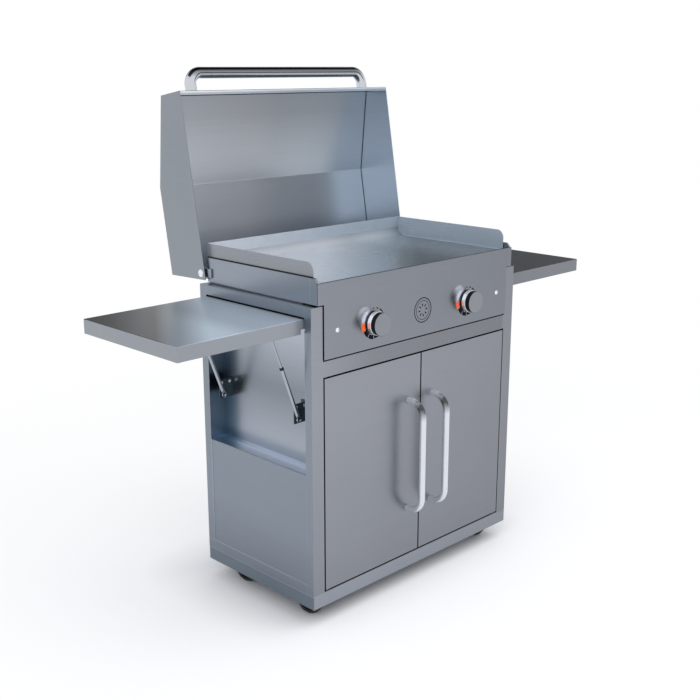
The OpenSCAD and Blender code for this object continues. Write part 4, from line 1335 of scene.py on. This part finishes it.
@dataclass
class ControlPanel(SubAssembly):
    """The panel with its knobs, printed scales and screws.

    A print is a row of arcs, each with its start and reach in degrees and its outer radius.
    """

    front: float = -3.0
    lower_x: float = 351.6
    upper_x: float = 371.5
    low: float = 643.0
    step: float = 778.5
    high: float = 830.5
    top_return: float = 5.0
    low_return: float = 13.5
    sheet: float = 1.5
    fold: float = 0.7
    knob_x: float = 181.0
    knob_z: float = 707.5
    knob_radius: float = 30.0
    knob_back: float = -8.0
    knob_length: float = 25.5
    knob_wall: float = 3.0
    hub: float = 8.0
    bore: float = 4.0
    band: float = 11.0
    cap: float = 1.2
    groove: float = 0.8
    edge: float = 0.6
    face_edge: float = 0.3
    ink: float = 0.12
    start_print: tuple = ((176, 28, 46),)
    start_inner: float = 33.0
    block_print: tuple = ((207, 27, 42), (238, 27, 41.5), (269, 24, 40), (297, 18, 38))
    block_inner: float = 31.2
    dash_print: tuple = ((91, 7, 38.7), (69, 9, 38.7), (36, 24, 38.7))
    dash_inner: float = 35.5
    screw_x: float = 308.0
    screw_z: float = 711.0
    screw_shaft: tuple = ((0, -8), (2.5, -8), (2.5, 0))
    screw_head: tuple = ((6, 0), (5.9, 0.6), (5.2, 1.6), (3.9, 2.5), (2.4, 2.9), (1.7, 2.95))
    screw_socket: tuple = ((1.7, 1.6), (0, 1.4))
    ring_z: float = 710.5
    rings: tuple = ((30.9, 33.4), (24.2, 25.6))
    ring_turn: float = 359.5
    flames: tuple = (10.0, 17.0)
    flame_count: int = 8
    flame_turn: float = 14.0

    def panel(self) -> None:
        """The folded sheet behind the knobs."""
        form = Form()
        wide, step = self.lower_x, self.step
        low, high = (-self.upper_x, self.front, self.low), (self.upper_x, self.front, self.high)
        form.sheet(low, high, FRONT)
        form.cut(ACROSS, -wide, wide)
        form.cut(UP, step)
        form.drop(form.faces_at(lambda at: abs(at.x) > wide and at.z < step))
        sides = form.edges_at(
            lambda at, span: close(span.x, 0) and close(abs(at.x), wide) and at.z < step
        )
        bottom = form.edges_at(lambda at, span: close(at.z, self.low))
        top = form.edges_at(lambda at, span: close(at.z, self.high))
        form.pull(sides + bottom, (0, self.low_return, 0))
        form.pull(top, (0, self.top_return, 0))
        form.round_off(sides + bottom + top, self.fold)
        form.face_towards(FRONT)
        name = "control_panel"
        self.add(form, f"{name}_folded", "cart", PANEL_STEEL, name, wall=self.sheet)

    def knob(self, side: Side) -> None:
        """A chrome band, a black grip and a satin face.

        Args:
            side: Its side.
        """
        body = f"{side}_knob"
        middle = (self.knob_x * side.value, self.knob_back, self.knob_z)
        place = Matrix.Translation(middle) @ facing("X")
        bore, hub, band, edge = self.bore, self.hub, self.band, self.edge
        outer, length = self.knob_radius, self.knob_length
        inner, top, waist = outer - self.knob_wall, length - self.cap, outer - self.groove
        face = waist - self.face_edge
        under = [(bore, 0), (hub, 0), (hub, hub), (inner, hub), (inner, 0), (outer - edge, 0)]
        rim = [(outer, edge), (outer, band - edge), (outer - edge, band), (bore, band), (bore, 0)]
        grip = [(bore, band), (waist, band), (waist, top), (bore, top), (bore, band)]
        disc = [(0, top), (face, top), (face, top + self.face_edge), (waist - self.cap, length)]
        for part, finish, nodes, profile in (
            ("band", BRIGHT_TRIM, [body], under + rim),
            ("grip", KNOB_BLACK, [], grip),
            ("face", FACE_STEEL, [], disc + [(0, length)]),
        ):
            form = Form()
            form.lathe(profile, place, steps=64)
            self.add(form, f"{body}_{part}", body, finish, *nodes)

    def arc(
        self, form: Form, middle: Point, inner: float, outer: float, start: float, turn: float
    ) -> None:
        """Prints one arc on the panel.

        Args:
            form: The mesh that the arc joins.
            middle: Its centre on the panel, as x and z.
            inner: Its inner radius.
            outer: Its outer radius.
            start: Where it starts, in degrees from the right, counted upwards.
            turn: How far it reaches, in degrees.
        """
        way = Vector((math.cos(math.radians(start)), 0, math.sin(math.radians(start))))
        centre = Vector((middle[0], self.front, middle[1]))
        verts, edges = form.line((centre + way * inner, centre + way * outer))
        before = set(form.mesh.faces)
        form.spin(verts + edges, centre, FRONT, turn, max(2, round(turn / ARC_STEP)))
        flat = [face for face in form.mesh.faces if face not in before]
        form.thicken(flat, (0, -self.ink, 0))

    def print_scale(self, side: Side) -> None:
        """The printed heat scale round a knob: a start block, shrinking blocks and dashes.

        Args:
            side: Its side.
        """
        middle = (self.knob_x * side.value, self.knob_z)
        start, blocks = Form(), Form()
        for form, inner, arcs in (
            (start, self.start_inner, self.start_print),
            (blocks, self.block_inner, self.block_print),
            (blocks, self.dash_inner, self.dash_print),
        ):
            for angle, turn, outer in arcs:
                self.arc(form, middle, inner, outer, angle, turn)
        self.add(start, f"{side}_scale_start", "cart", INK_ORANGE)
        self.add(blocks, f"{side}_scale_blocks", "cart", INK_BLACK)

    def ring_print(self) -> None:
        """A plain burner sign printed at the panel's middle: two rings and eight dashes."""
        form = Form()
        middle = (0.0, self.ring_z)
        for inner, outer in self.rings:
            self.arc(form, middle, inner, outer, 0.0, self.ring_turn)
        for step in range(self.flame_count):
            start = step * FULL_TURN / self.flame_count
            self.arc(form, middle, *self.flames, start, self.flame_turn)
        self.add(form, "panel_ring_print", "cart", INK_BLACK)

    def screws(self) -> None:
        """Two domed screw heads with round sockets."""
        form = Form()
        profile = self.screw_shaft + self.screw_head + self.screw_socket
        for side in Side:
            place = Matrix.Translation((self.screw_x * side.value, self.front, self.screw_z))
            form.lathe(profile, place @ facing("X"), steps=36)
        self.add(form, "panel_screw_heads", "cart", BRIGHT_TRIM, "panel_screws")

    def make(self) -> None:
        """Makes the panel and everything on it."""
        self.panel()
        self.ring_print()
        self.screws()
        for side in Side:
            self.knob(side)
            self.print_scale(side)


@dataclass
class GriddleTop(SubAssembly):
    """The griddle's body, splash guard and the fillets between guard and plate."""

    guard_x: float = 362.0
    plate_top: float = 822.0
    front: float = 25.0
    back: float = 420.0
    weld: float = 2.0
    cove: float = 24.0

    def fillet(self, name: str, finish: Finish, radius: float, runs: Sequence[tuple]) -> None:
        """A hollow fillet along edges where the plate meets the guard.

        Args:
            name: The piece's name.
            finish: Its finish.
            radius: The hollow's radius.
            runs: Start, vector along the edge and direction away from the guard, for each edge.
        """
        form = Form()
        up = Vector(UP)
        for corner, along, inwards in runs:
            centre = Vector(corner) + (Vector(inwards) + up) * radius
            first = form.mesh.verts.new(centre - up * radius)
            before = set(form.mesh.verts) - {first}
            form.spin([first], centre, up.cross(Vector(inwards)), QUARTER, FILLET_STEPS)
            arc = sorted(set(form.mesh.verts) - before, key=lambda vert: vert.co.z)
            form.thicken([form.mesh.faces.new(arc + [form.mesh.verts.new(corner)])], along)
        self.add(form, name, "cart", finish)

    def make(self) -> None:
        """Makes the griddle's outer pieces."""
        x, front, back, z = self.guard_x, self.front, self.back, self.plate_top
        sides = [((sign * x, front, z), (0, back - front, 0), (-sign, 0, 0)) for sign in (-1, 1)]
        self.softened("griddle_body", "cart", SIDE_STEEL, width=0.7)
        self.softened("splash_guard", "cart", GUARD_STEEL, width=0.45)
        self.fillet("plate_side_welds", GUARD_STEEL, self.weld, sides)
        rear = [((-x, back, z), (2 * x, 0, 0), FRONT)]
        self.fillet("plate_rear_cove", COVE_STEEL, self.cove, rear)


@dataclass
class Lid(SubAssembly):
    """The lid's folded shell, end caps, handle and hinge bolts.

    Its sizes are those of the closed lid, from the axis of its hinge.
    """

    pivot_y: float = 430.0
    pivot_z: float = 799.4
    opened: float = 99.5
    half_width: float = 380.0
    sheet: float = 1.5
    fold: float = 3.0
    reach: float = 463.6
    skirt: float = 15.4
    front_up: float = 68.0
    knee: float = 232.0
    crown: float = 129.0
    back_low_y: float = 16.5
    back_low_z: float = 3.4
    lip: float = 11.0
    # Where the black rods of painted corner shade run, set in from the shell's outline; their
    # radius and gap from the end caps follow.
    seam_in: tuple = ((1.6, 0.0), (1.6, -2.0), (1.0, -2.2), (-2.0, -2.0), (-2.0, 0.0))
    seam_radius: float = 0.5
    seam_gap: float = 0.6
    bar_span: float = 630.0
    bar_out: float = 50.0
    bar_bend: float = 33.0
    bar_radius: float = 15.0
    bar_up: float = 23.0
    bolt_x: float = 370.0
    washer: tuple = ((0, 0), (5, 0), (5, 10), (10, 10), (10, 10.8), (9.6, 11.2), (7.4, 11.3))
    bolt_head: tuple = ((7.2, 12.4), (5.4, 13.1), (2.6, 13.5), (2.4, 12.6), (0, 12.5))

    def open_place(self) -> Matrix:
        """Where the closed lid's own axes go when it stands open."""
        turn = Matrix.Rotation(math.radians(-self.opened), 4, "X")
        return Matrix.Translation((0, self.pivot_y, self.pivot_z)) @ turn

    def outline(self) -> list:
        """The shell's outer line.

        Returns:
            Corners from the front wall's foot over the crown to the back wall's foot.
        """
        front = [(-self.reach, -self.skirt), (-self.reach, self.front_up)]
        top = [(-self.knee, self.crown), (0.0, self.crown)]
        return front + top + [(self.back_low_y, self.back_low_z)]

    def shell(self) -> None:
        """Front wall, slope, crown and back wall folded from one sheet."""
        half = self.half_width - self.sheet
        form = Form()
        corners = [(self.lip - self.reach, -self.skirt)] + self.outline()
        form.pull(form.line((-half, *corner) for corner in corners)[1], (2 * half, 0, 0))
        form.round_off(form.corners(least=10.0), self.fold, segments=4)
        form.face_towards(UP)
        more = {"wall": self.sheet, "place": self.open_place()}
        self.add(form, "lid_shell_folded", "lid", LID_STEEL, "lid_shell", **more)

    def handle(self) -> None:
        """The thick bar along the lid's front edge."""
        form = Form()
        sizes = (self.bar_span, self.bar_out, self.bar_bend, self.bar_radius)
        start = (-self.bar_span / 2, -self.reach, self.bar_up)
        form.bow(start, ACROSS, sizes, sides=48)
        place = self.open_place()
        self.add(form, "lid_handle_tube", "lid", BAR_STEEL, "lid_handle", place=place)

    def seams(self) -> None:
        """Black rods along the joints inside, where the end caps meet the folded sheet: painted
        shade standing in for the shadow in these corners.
        """
        form = Form()
        inside = [(y + a, z + b) for (y, z), (a, b) in zip(self.outline(), self.seam_in)]
        for side in Side:
            x = side.value * (self.half_width - self.sheet - self.seam_gap)
            for start, end in zip(inside, inside[1:]):
                form.rod((x, *start), (x, *end), self.seam_radius, sides=10)
        self.add(form, "lid_corner_seams", "lid", BLACK_COAT, place=self.open_place())

    def hinge_bolts(self) -> None:
        """A domed bolt with its washer through each end cap."""
        form = Form()
        place = Matrix.Translation((self.bolt_x, self.pivot_y, self.pivot_z)) @ facing("Y")
        for side in Side:
            form.lathe(self.washer + self.bolt_head, side.mirror() @ place, steps=40)
        form.set_outwards()
        self.add(form, "lid_hinge_bolts", "cart", BRIGHT_TRIM, "lid_hinge_pins")

    def make(self) -> None:
        """Makes the lid's pieces."""
        self.shell()
        for side in Side:
            self.softened(f"lid_{side}_cap", "lid", CAP_STEEL, width=0.6)
        self.seams()
        self.handle()
        self.hinge_bolts()


@dataclass
class Shelves(SubAssembly):
    """The fold-down shelves with their strut lugs."""

    root_x: float = 374.0
    end_x: float = 752.0
    front: float = 27.5
    back: float = 395.5
    top: float = 746.0
    low: float = 710.0
    lip: float = 8.0
    notch_x: float = 398.0
    notch_z: float = 722.0
    sheet: float = 2.0
    fold: float = 1.2
    lug_x: float = 465.5
    lug_y: float = 68.8
    lug_z: float = 727.0
    lug_thickness: float = 3.0
    lug_half: float = 6.5
    lug_below: float = 6.0
    lug_round: float = 4.5
    stud_end: float = 5.2
    stud_radius: float = 4.2
    depth: float = 423.0

    def tray(self, side: Side) -> None:
        """A folded tray, open below and at its root.

        Args:
            side: Its side.
        """
        form = Form()
        x, z = self.notch_x, self.notch_z
        form.block((self.root_x, self.front, self.low), (self.end_x, self.back, self.top))
        form.drop(form.looking((-1, 0, 0), DOWN))
        form.cut(ACROSS, x)
        form.cut(UP, z)
        form.drop(form.faces_at(lambda at: at.x < x and at.z < z))
        folds = form.corners()
        rims = form.edges_at(lambda at, span: close(at.z, self.low))
        for rim in rims:
            form.pull([rim], -self.lip * rim.link_faces[0].normal)
        form.round_off(folds + rims, self.fold)
        form.face_towards(UP)
        body, more = f"{side}_shelf", {"wall": self.sheet, "place": side.mirror()}
        self.add(form, f"{body}_tray", body, SHELF_STEEL, body, **more)

    def lugs(self, side: Side) -> None:
        """The two ears under a shelf that its struts are bolted to.

        Args:
            side: Its side.
        """
        form = Form()
        x, y, z = self.lug_x, self.lug_y, self.lug_z
        foot, back = z - self.lug_below, y + self.lug_thickness
        for end in End:
            ear = form.block(
                (x - self.lug_half, y, foot), (x + self.lug_half, back, self.top - self.sheet)
            )
            tip = (x, y + self.stud_end, z)
            stud = form.rod((x, back, z), tip, self.stud_radius, sides=24)
            form.move(ear + stud, end.mirror(self.depth))
        feet = form.edges_at(
            lambda at, span: close(abs(span.z) + abs(span.x), 0) and close(at.z, foot)
        )
        form.round_off(feet, self.lug_round, segments=4)
        form.set_outwards()
        body = f"{side}_shelf"
        self.add(form, f"{body}_lugs", body, INNER_STEEL, place=side.mirror())

    def make(self) -> None:
        """Makes both shelves."""
        for side in Side:
            self.tray(side)
            self.lugs(side)


@dataclass
class Struts(SubAssembly):
    """The telescoping shelf struts and their foot brackets."""

    foot_x: float = 373.0
    foot_y: float = 65.5
    foot_z: float = 484.0
    lean: float = 20.84
    length: float = 260.01
    tube_radius: float = 4.8
    tube_length: float = 153.0
    tube_taper: float = 1.2
    foot_half: float = 4.4
    collar: float = 5.0
    collar_radius: float = 5.4
    collar_edge: float = 0.8
    rod_radius: float = 2.8
    rod_length: float = 148.0
    rod_play: float = 0.3
    rod_short: float = 3.0
    eye_half: float = 2.5
    foot_eye: float = 7.0
    head_eye: float = 5.5
    flat_low: float = 2.0
    flat_high: float = 13.0
    tube_low: float = 11.5
    tube_full: float = 14.5
    tube_floor: float = 16.5
    bolt_y: float = 5.6
    bolt_x: tuple[float, float] = (349.5, 375.5)
    bolt_z: float = 516.0
    bolt_high: float = 0.6
    stud_high: float = 1.9
    stud_gap: float = 0.4
    head_shape: tuple = ((0, 0), (4.2, 0), (4.1, 0.4), (3.0, 0.8), (0, 1))
    depth: float = 423.0

    def strut(self, side: Side, end: End) -> None:
        """One strut: barrel, flattened foot, dark end seal, shaft and eye.

        Args:
            side: Its side.
            end: Its end of the shelf.
        """
        foot = Matrix.Translation((self.foot_x, self.foot_y, self.foot_z))
        lean = Matrix.Rotation(math.radians(self.lean), 4, "Y")
        place = side.mirror() @ end.mirror(self.depth) @ foot @ lean
        half, wall, high, long = self.eye_half, self.foot_half, self.tube_length, self.length
        outer, inner, low = self.tube_radius, self.rod_radius + self.rod_play, high - self.collar
        name, wide, edge = f"{side}_{end}_strut", self.collar_radius, self.collar_edge
        barrel, seal, shaft = Form(), Form(), Form()
        barrel.lathe(
            [(0, self.tube_low), (outer - self.tube_taper, self.tube_low)]
            + [(outer, self.tube_full), (outer, low), (inner, low)]
            + [(inner, self.tube_floor), (0, self.tube_floor)],
            STILL,
            steps=32,
        )
        barrel.rod((0, -half, 0), (0, half, 0), self.foot_eye, sides=32)
        barrel.block((-wall, -half, self.flat_low), (wall, half, self.flat_high))
        barrel.round_off(barrel.corners(least=60.0), width=0.4, segments=2)
        body = f"{name}_tube"
        self.add(barrel, f"{name}_barrel", body, STRUT_STEEL, body, place=place)
        seal.lathe(
            [(inner, low), (wide, low), (wide, high - edge), (wide - edge, high), (inner, high)]
            + [(inner, low)],
            STILL,
            steps=32,
        )
        self.add(seal, f"{name}_seal", body, BLACK_COAT, place=place)
        tip = (0, 0, long - self.rod_short)
        shaft.rod((0, 0, long - self.rod_length), tip, self.rod_radius, sides=40)
        shaft.rod((0, -half, long), (0, half, long), self.head_eye, sides=28)
        shaft.round_off(shaft.corners(least=60.0), width=0.4, segments=2)
        body = f"{name}_rod"
        self.add(shaft, f"{name}_shaft", body, STRUT_STEEL, body, place=place)

    def bracket_bolts(self) -> None:
        """Domed bolts in the brackets' holes and on the studs that the struts turn on."""
        form = Form()
        for side in Side:
            for y in (self.foot_y, self.depth - self.foot_y):
                heads = [(x, y + self.bolt_y, self.bolt_z, self.bolt_high) for x in self.bolt_x]
                stud_y = y - self.eye_half - self.stud_gap
                heads.append((self.foot_x, stud_y, self.foot_z, self.stud_high))
                for x, front, z, high in heads:
                    place = Matrix.Translation((side.value * x, front, z)) @ facing("X")
                    profile = [(radius, share * high) for radius, share in self.head_shape]
                    form.lathe(profile, place, steps=20)
        self.add(form, "strut_bracket_bolts", "cart", BRIGHT_TRIM)

    def make(self) -> None:
        """Makes all four struts and their brackets."""
        for side in Side:
            for end in End:
                self.strut(side, end)
        self.softened("strut_brackets", "cart", BRACKET_COAT, width=0.5)
        self.bracket_bolts()


@dataclass
class Casters(SubAssembly):
    """The four swivel casters."""

    x: float = 336.0
    y: float = 126.0
    middle: float = 211.5
    turn: float = 285.0
    trail: float = 14.0
    axle_z: float = -16.0
    wheel_radius: float = 35.0
    half_wheel: float = 14.0
    hub_radius: float = 17.0
    hub_recess: float = 3.0
    tread: float = 8.0
    axle: float = 4.05
    shoulder: float = 4.0
    shoulder_steps: int = 4
    edge: float = 0.6

    def wheel(self, side: Side, end: End) -> None:
        """A rubber tread round a recessed hub.

        Args:
            side: Its side.
            end: Its end of the cart.
        """
        swivel = Matrix.Translation((side.value * self.x, self.middle + end.value * self.y, 0))
        swivel = swivel @ Matrix.Rotation(math.radians(self.turn), 4, "Z")
        place = swivel @ Matrix.Translation((self.trail, 0, self.axle_z)) @ facing("X")
        high, inner, curve = self.half_wheel, self.wheel_radius - self.tread, self.shoulder
        deep, hub, edge, axle = high - self.hub_recess, self.hub_radius, self.edge, self.axle
        steps = self.shoulder_steps
        turns = [math.radians(QUARTER * step / steps) for step in range(steps + 1)]
        outer = self.wheel_radius - curve
        out = [(outer + curve * math.sin(t), high - curve + curve * math.cos(t)) for t in turns]
        low = [(radius, -height) for radius, height in out]
        name = f"{end}_{side}"
        body, tyre, core = f"{name}_wheel", Form(), Form()
        tread = [(inner, -high), *low, *reversed(out), (inner, high), (inner, -high)]
        tyre.lathe(tread, place, steps=56)
        node = f"{name}_caster_wheel"
        self.add(tyre, f"{name}_caster_tyre", body, BLACK_RUBBER, node)
        core.lathe(
            [(axle, -high), (hub - edge, -high), (hub, edge - high), (hub, -deep), (inner, -deep)]
            + [(inner, deep), (hub, deep), (hub, high - edge), (hub - edge, high), (axle, high)]
            + [(axle, -high)],
            place,
            steps=40,
        )
        self.add(core, f"{name}_caster_hub", body, BLACK_COAT)

    def make(self) -> None:
        """Makes the casters' forks and wheels."""
        for side in Side:
            for end in End:
                self.wheel(side, end)
                body = f"{end}_{side}_caster"
                self.softened(f"{body}_fork", body, BLACK_COAT, width=0.5)


@dataclass
class InnerParts(SubAssembly):
    """The nodes that keep their own shape, dressed in their finishes."""

    finishes: tuple = (
        (
            INNER_STEEL,
            ("cabinet_floor", "shelf_hinge_pins", "caster_plates", "door_hinge_pins", "firebox")
            + ("drip_gutter", "grease_cup", "burners", "gas_manifold")
            + ("left_valve_stem", "right_valve_stem"),
        ),
        (SKIRT_STEEL, ("back_panel",)),
        (PLATE_STEEL, ("griddle_plate",)),
        (BLACK_COAT, ("door_magnets",)),
        (BRASS, ("gas_valves", "left_valve_plunger", "right_valve_plunger")),
        (CERAMIC, ("igniters",)),
    )

    def make(self) -> None:
        """Gives every such node its finish."""
        for finish, names in self.finishes:
            for name in names:
                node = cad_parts[name]
                node.data.materials.clear()
                node.data.materials.append(finish.material())
                self.pieces.append(node)


@dataclass(frozen=True)
class Lamp:
    """A soft square lamp."""

    name: str
    place: Point
    aim: Point
    size: float
    power: float


@dataclass(frozen=True)
class Flag:
    """A dark card that only bright metal sees, as a photographer sets up beside steel."""

    name: str
    place: Point
    aim: Point
    width: float
    height: float
    grey: float


@dataclass
class Studio:
    """Pale floor, white surroundings, soft lamps and dark flags."""

    floor_size: float = 60.0
    floor_colour: Colour = (0.90, 0.915, 0.96)
    sky_light: float = 0.70
    footprint: Point = (0.39, 0.21, 0.0)
    shadow_reach: float = 0.16
    near_white: float = 0.45
    white_to: float = 2.0
    flag_tint: Colour = (1.0, 1.1, 1.25)
    lamps: tuple = (
        Lamp("key_lamp", (2.2, -3.0, 3.2), (0.0, 0.0, 0.6), 2.6, 35.0),
        Lamp("fill_lamp", (-3.0, -1.8, 2.8), (0.0, 0.0, 0.6), 2.6, 45.0),
        Lamp("top_lamp", (0.2, -0.6, 4.2), (0.0, 0.0, 0.8), 3.4, 65.0),
    )
    flags: tuple = (
        Flag("ceiling_flag", (0.5, 0.8, 3.6), (0.5, 0.8, 0.0), 5.0, 3.2, 0.05),
        Flag("rear_right_flag", (3.6, 2.6, 1.9), (0.2, 0.0, 0.9), 2.2, 1.6, 0.10),
        Flag("rear_left_flag", (1.2, 4.4, 2.0), (-0.6, 0.0, 0.8), 1.6, 1.6, 0.10),
        Flag("front_right_flag", (2.8, -3.0, 1.5), (0.0, 0.2, 1.1), 3.2, 1.2, 0.18),
    )

    def world(self) -> None:
        """White for the eye and for reflections, and a plain level of light for the rest."""
        made = bpy.data.worlds.new("studio_world")
        made.use_nodes = True
        shader = Shader(made.node_tree)
        strength = shader.seen_directly() * (1.0 - self.sky_light) + self.sky_light
        back = shader.node("ShaderNodeBackground", {"Color": WHITE, "Strength": strength})
        shader.cover(back, "World")
        bpy.context.scene.world = made

    def plane(self, name: str, width: float, height: float) -> tuple[bpy.types.Object, Shader]:
        """A flat sheet round the origin, facing up, with an empty material of its own.

        Args:
            name: Its name.
            width: Its size along x.
            height: Its size along y.

        Returns:
            The sheet, marked as part of the stage, and the shader to fill its material.
        """
        mesh = bpy.data.meshes.new(name)
        form = bmesh.new()
        bmesh.ops.create_grid(form, x_segments=1, y_segments=1, size=0.5)
        bmesh.ops.scale(form, vec=(width, height, 1.0), verts=form.verts[:])
        form.to_mesh(mesh)
        form.free()
        made = put(name, mesh)
        paint = bpy.data.materials.new(name)
        paint.use_nodes = True
        mesh.materials.append(paint)
        return made, Shader(paint.node_tree)

    def floor(self) -> None:
        """A pale floor that keeps the shadow and turns white with distance."""
        shader = self.plane("studio_floor", self.floor_size, self.floor_size)[1]
        where = shader.vector("ABSOLUTE", shader.place((1.0, 1.0, 0.0)))
        beside = shader.vector("SUBTRACT", where, self.footprint)
        outside = shader.vector("MAXIMUM", beside, ZERO)
        distance = shader.vector("LENGTH", outside, output="Value")
        near = (distance / self.shadow_reach).clamp() * self.near_white
        far = near + (distance / self.white_to).clamp() * (1.0 - self.near_white)
        matt = shader.node("ShaderNodeBsdfDiffuse", {"Color": (*self.floor_colour, 1.0)})
        inputs = {1: matt.outputs[0], 2: shader.glow(WHITE).outputs[0]}
        share = far * shader.seen_directly()
        shader.cover(shader.node("ShaderNodeMixShader", {0: share, **inputs}))

    def stand(self, made: bpy.types.Object, plan: Union[Lamp, Flag], axis: str) -> None:
        """Stands a lamp or flag at its place and aims it.

        Args:
            made: The lamp or flag.
            plan: Its place and aim.
            axis: Which of its own axes points at the aim.
        """
        made.location = plan.place
        towards = Vector(plan.aim) - Vector(plan.place)
        made.rotation_euler = towards.to_track_quat(axis, "Y").to_euler()

    def hang(self, flag: Flag) -> None:
        """Sets up one dark flag, unseen by the eye and casting no shadow.

        Args:
            flag: The flag.
        """
        made, shader = self.plane(flag.name, flag.width, flag.height)
        self.stand(made, flag, "Z")
        shader.cover(shader.glow((*(flag.grey * channel for channel in self.flag_tint), 1.0)))
        made.visible_camera = False
        made.visible_diffuse = False
        made.visible_shadow = False
        made.visible_transmission = False

    def light(self, lamp: Lamp) -> None:
        """Sets up one large soft lamp, unseen in the steel.

        Args:
            lamp: The lamp.
        """
        data = bpy.data.lights.new(lamp.name, "AREA")
        data.shape = "SQUARE"
        data.size = lamp.size
        data.energy = lamp.power
        made = put(lamp.name, data)
        self.stand(made, lamp, "-Z")
        made.visible_glossy = False

    def build(self) -> None:
        """Builds the whole studio."""
        self.world()
        self.floor()
        for lamp in self.lamps:
            self.light(lamp)
        for flag in self.flags:
            self.hang(flag)
        bpy.context.scene.view_settings.view_transform = "Standard"


@dataclass
class Photographer:
    """The camera, at the photograph's place."""

    place: Point = (-2.0161, -2.0254, 1.3674)
    azimuth: float = 44.93
    elevation: float = 14.97
    lens: float = 54.42
    film: float = 36.0

    def build(self) -> None:
        """Makes the camera and gives it to the scene."""
        data = bpy.data.cameras.new("photograph_camera")
        data.lens = self.lens
        data.sensor_width = self.film
        made = put("photograph_camera", data)
        made.location = self.place
        turn = (90.0 - self.elevation, 0.0, -self.azimuth)
        made.rotation_euler = tuple(math.radians(angle) for angle in turn)
        bpy.context.scene.camera = made


def main() -> None:
    """Builds the camera, the studio and every sub-assembly in order."""
    logging.basicConfig(level=logging.INFO, format="%(name)s: %(message)s")
    Photographer().build()
    Studio().build()
    for assembly in (
        InnerParts(),
        CartShell(),
        Doors(),
        ControlPanel(),
        GriddleTop(),
        Lid(),
        Shelves(),
        Struts(),
        Casters(),
    ):
        name = type(assembly).__name__
        for piece in assembly.build():
            LOG.info("%s: %s, %d faces", name, piece.name, len(piece.data.polygons))


if __name__ == "__main__":
    main()
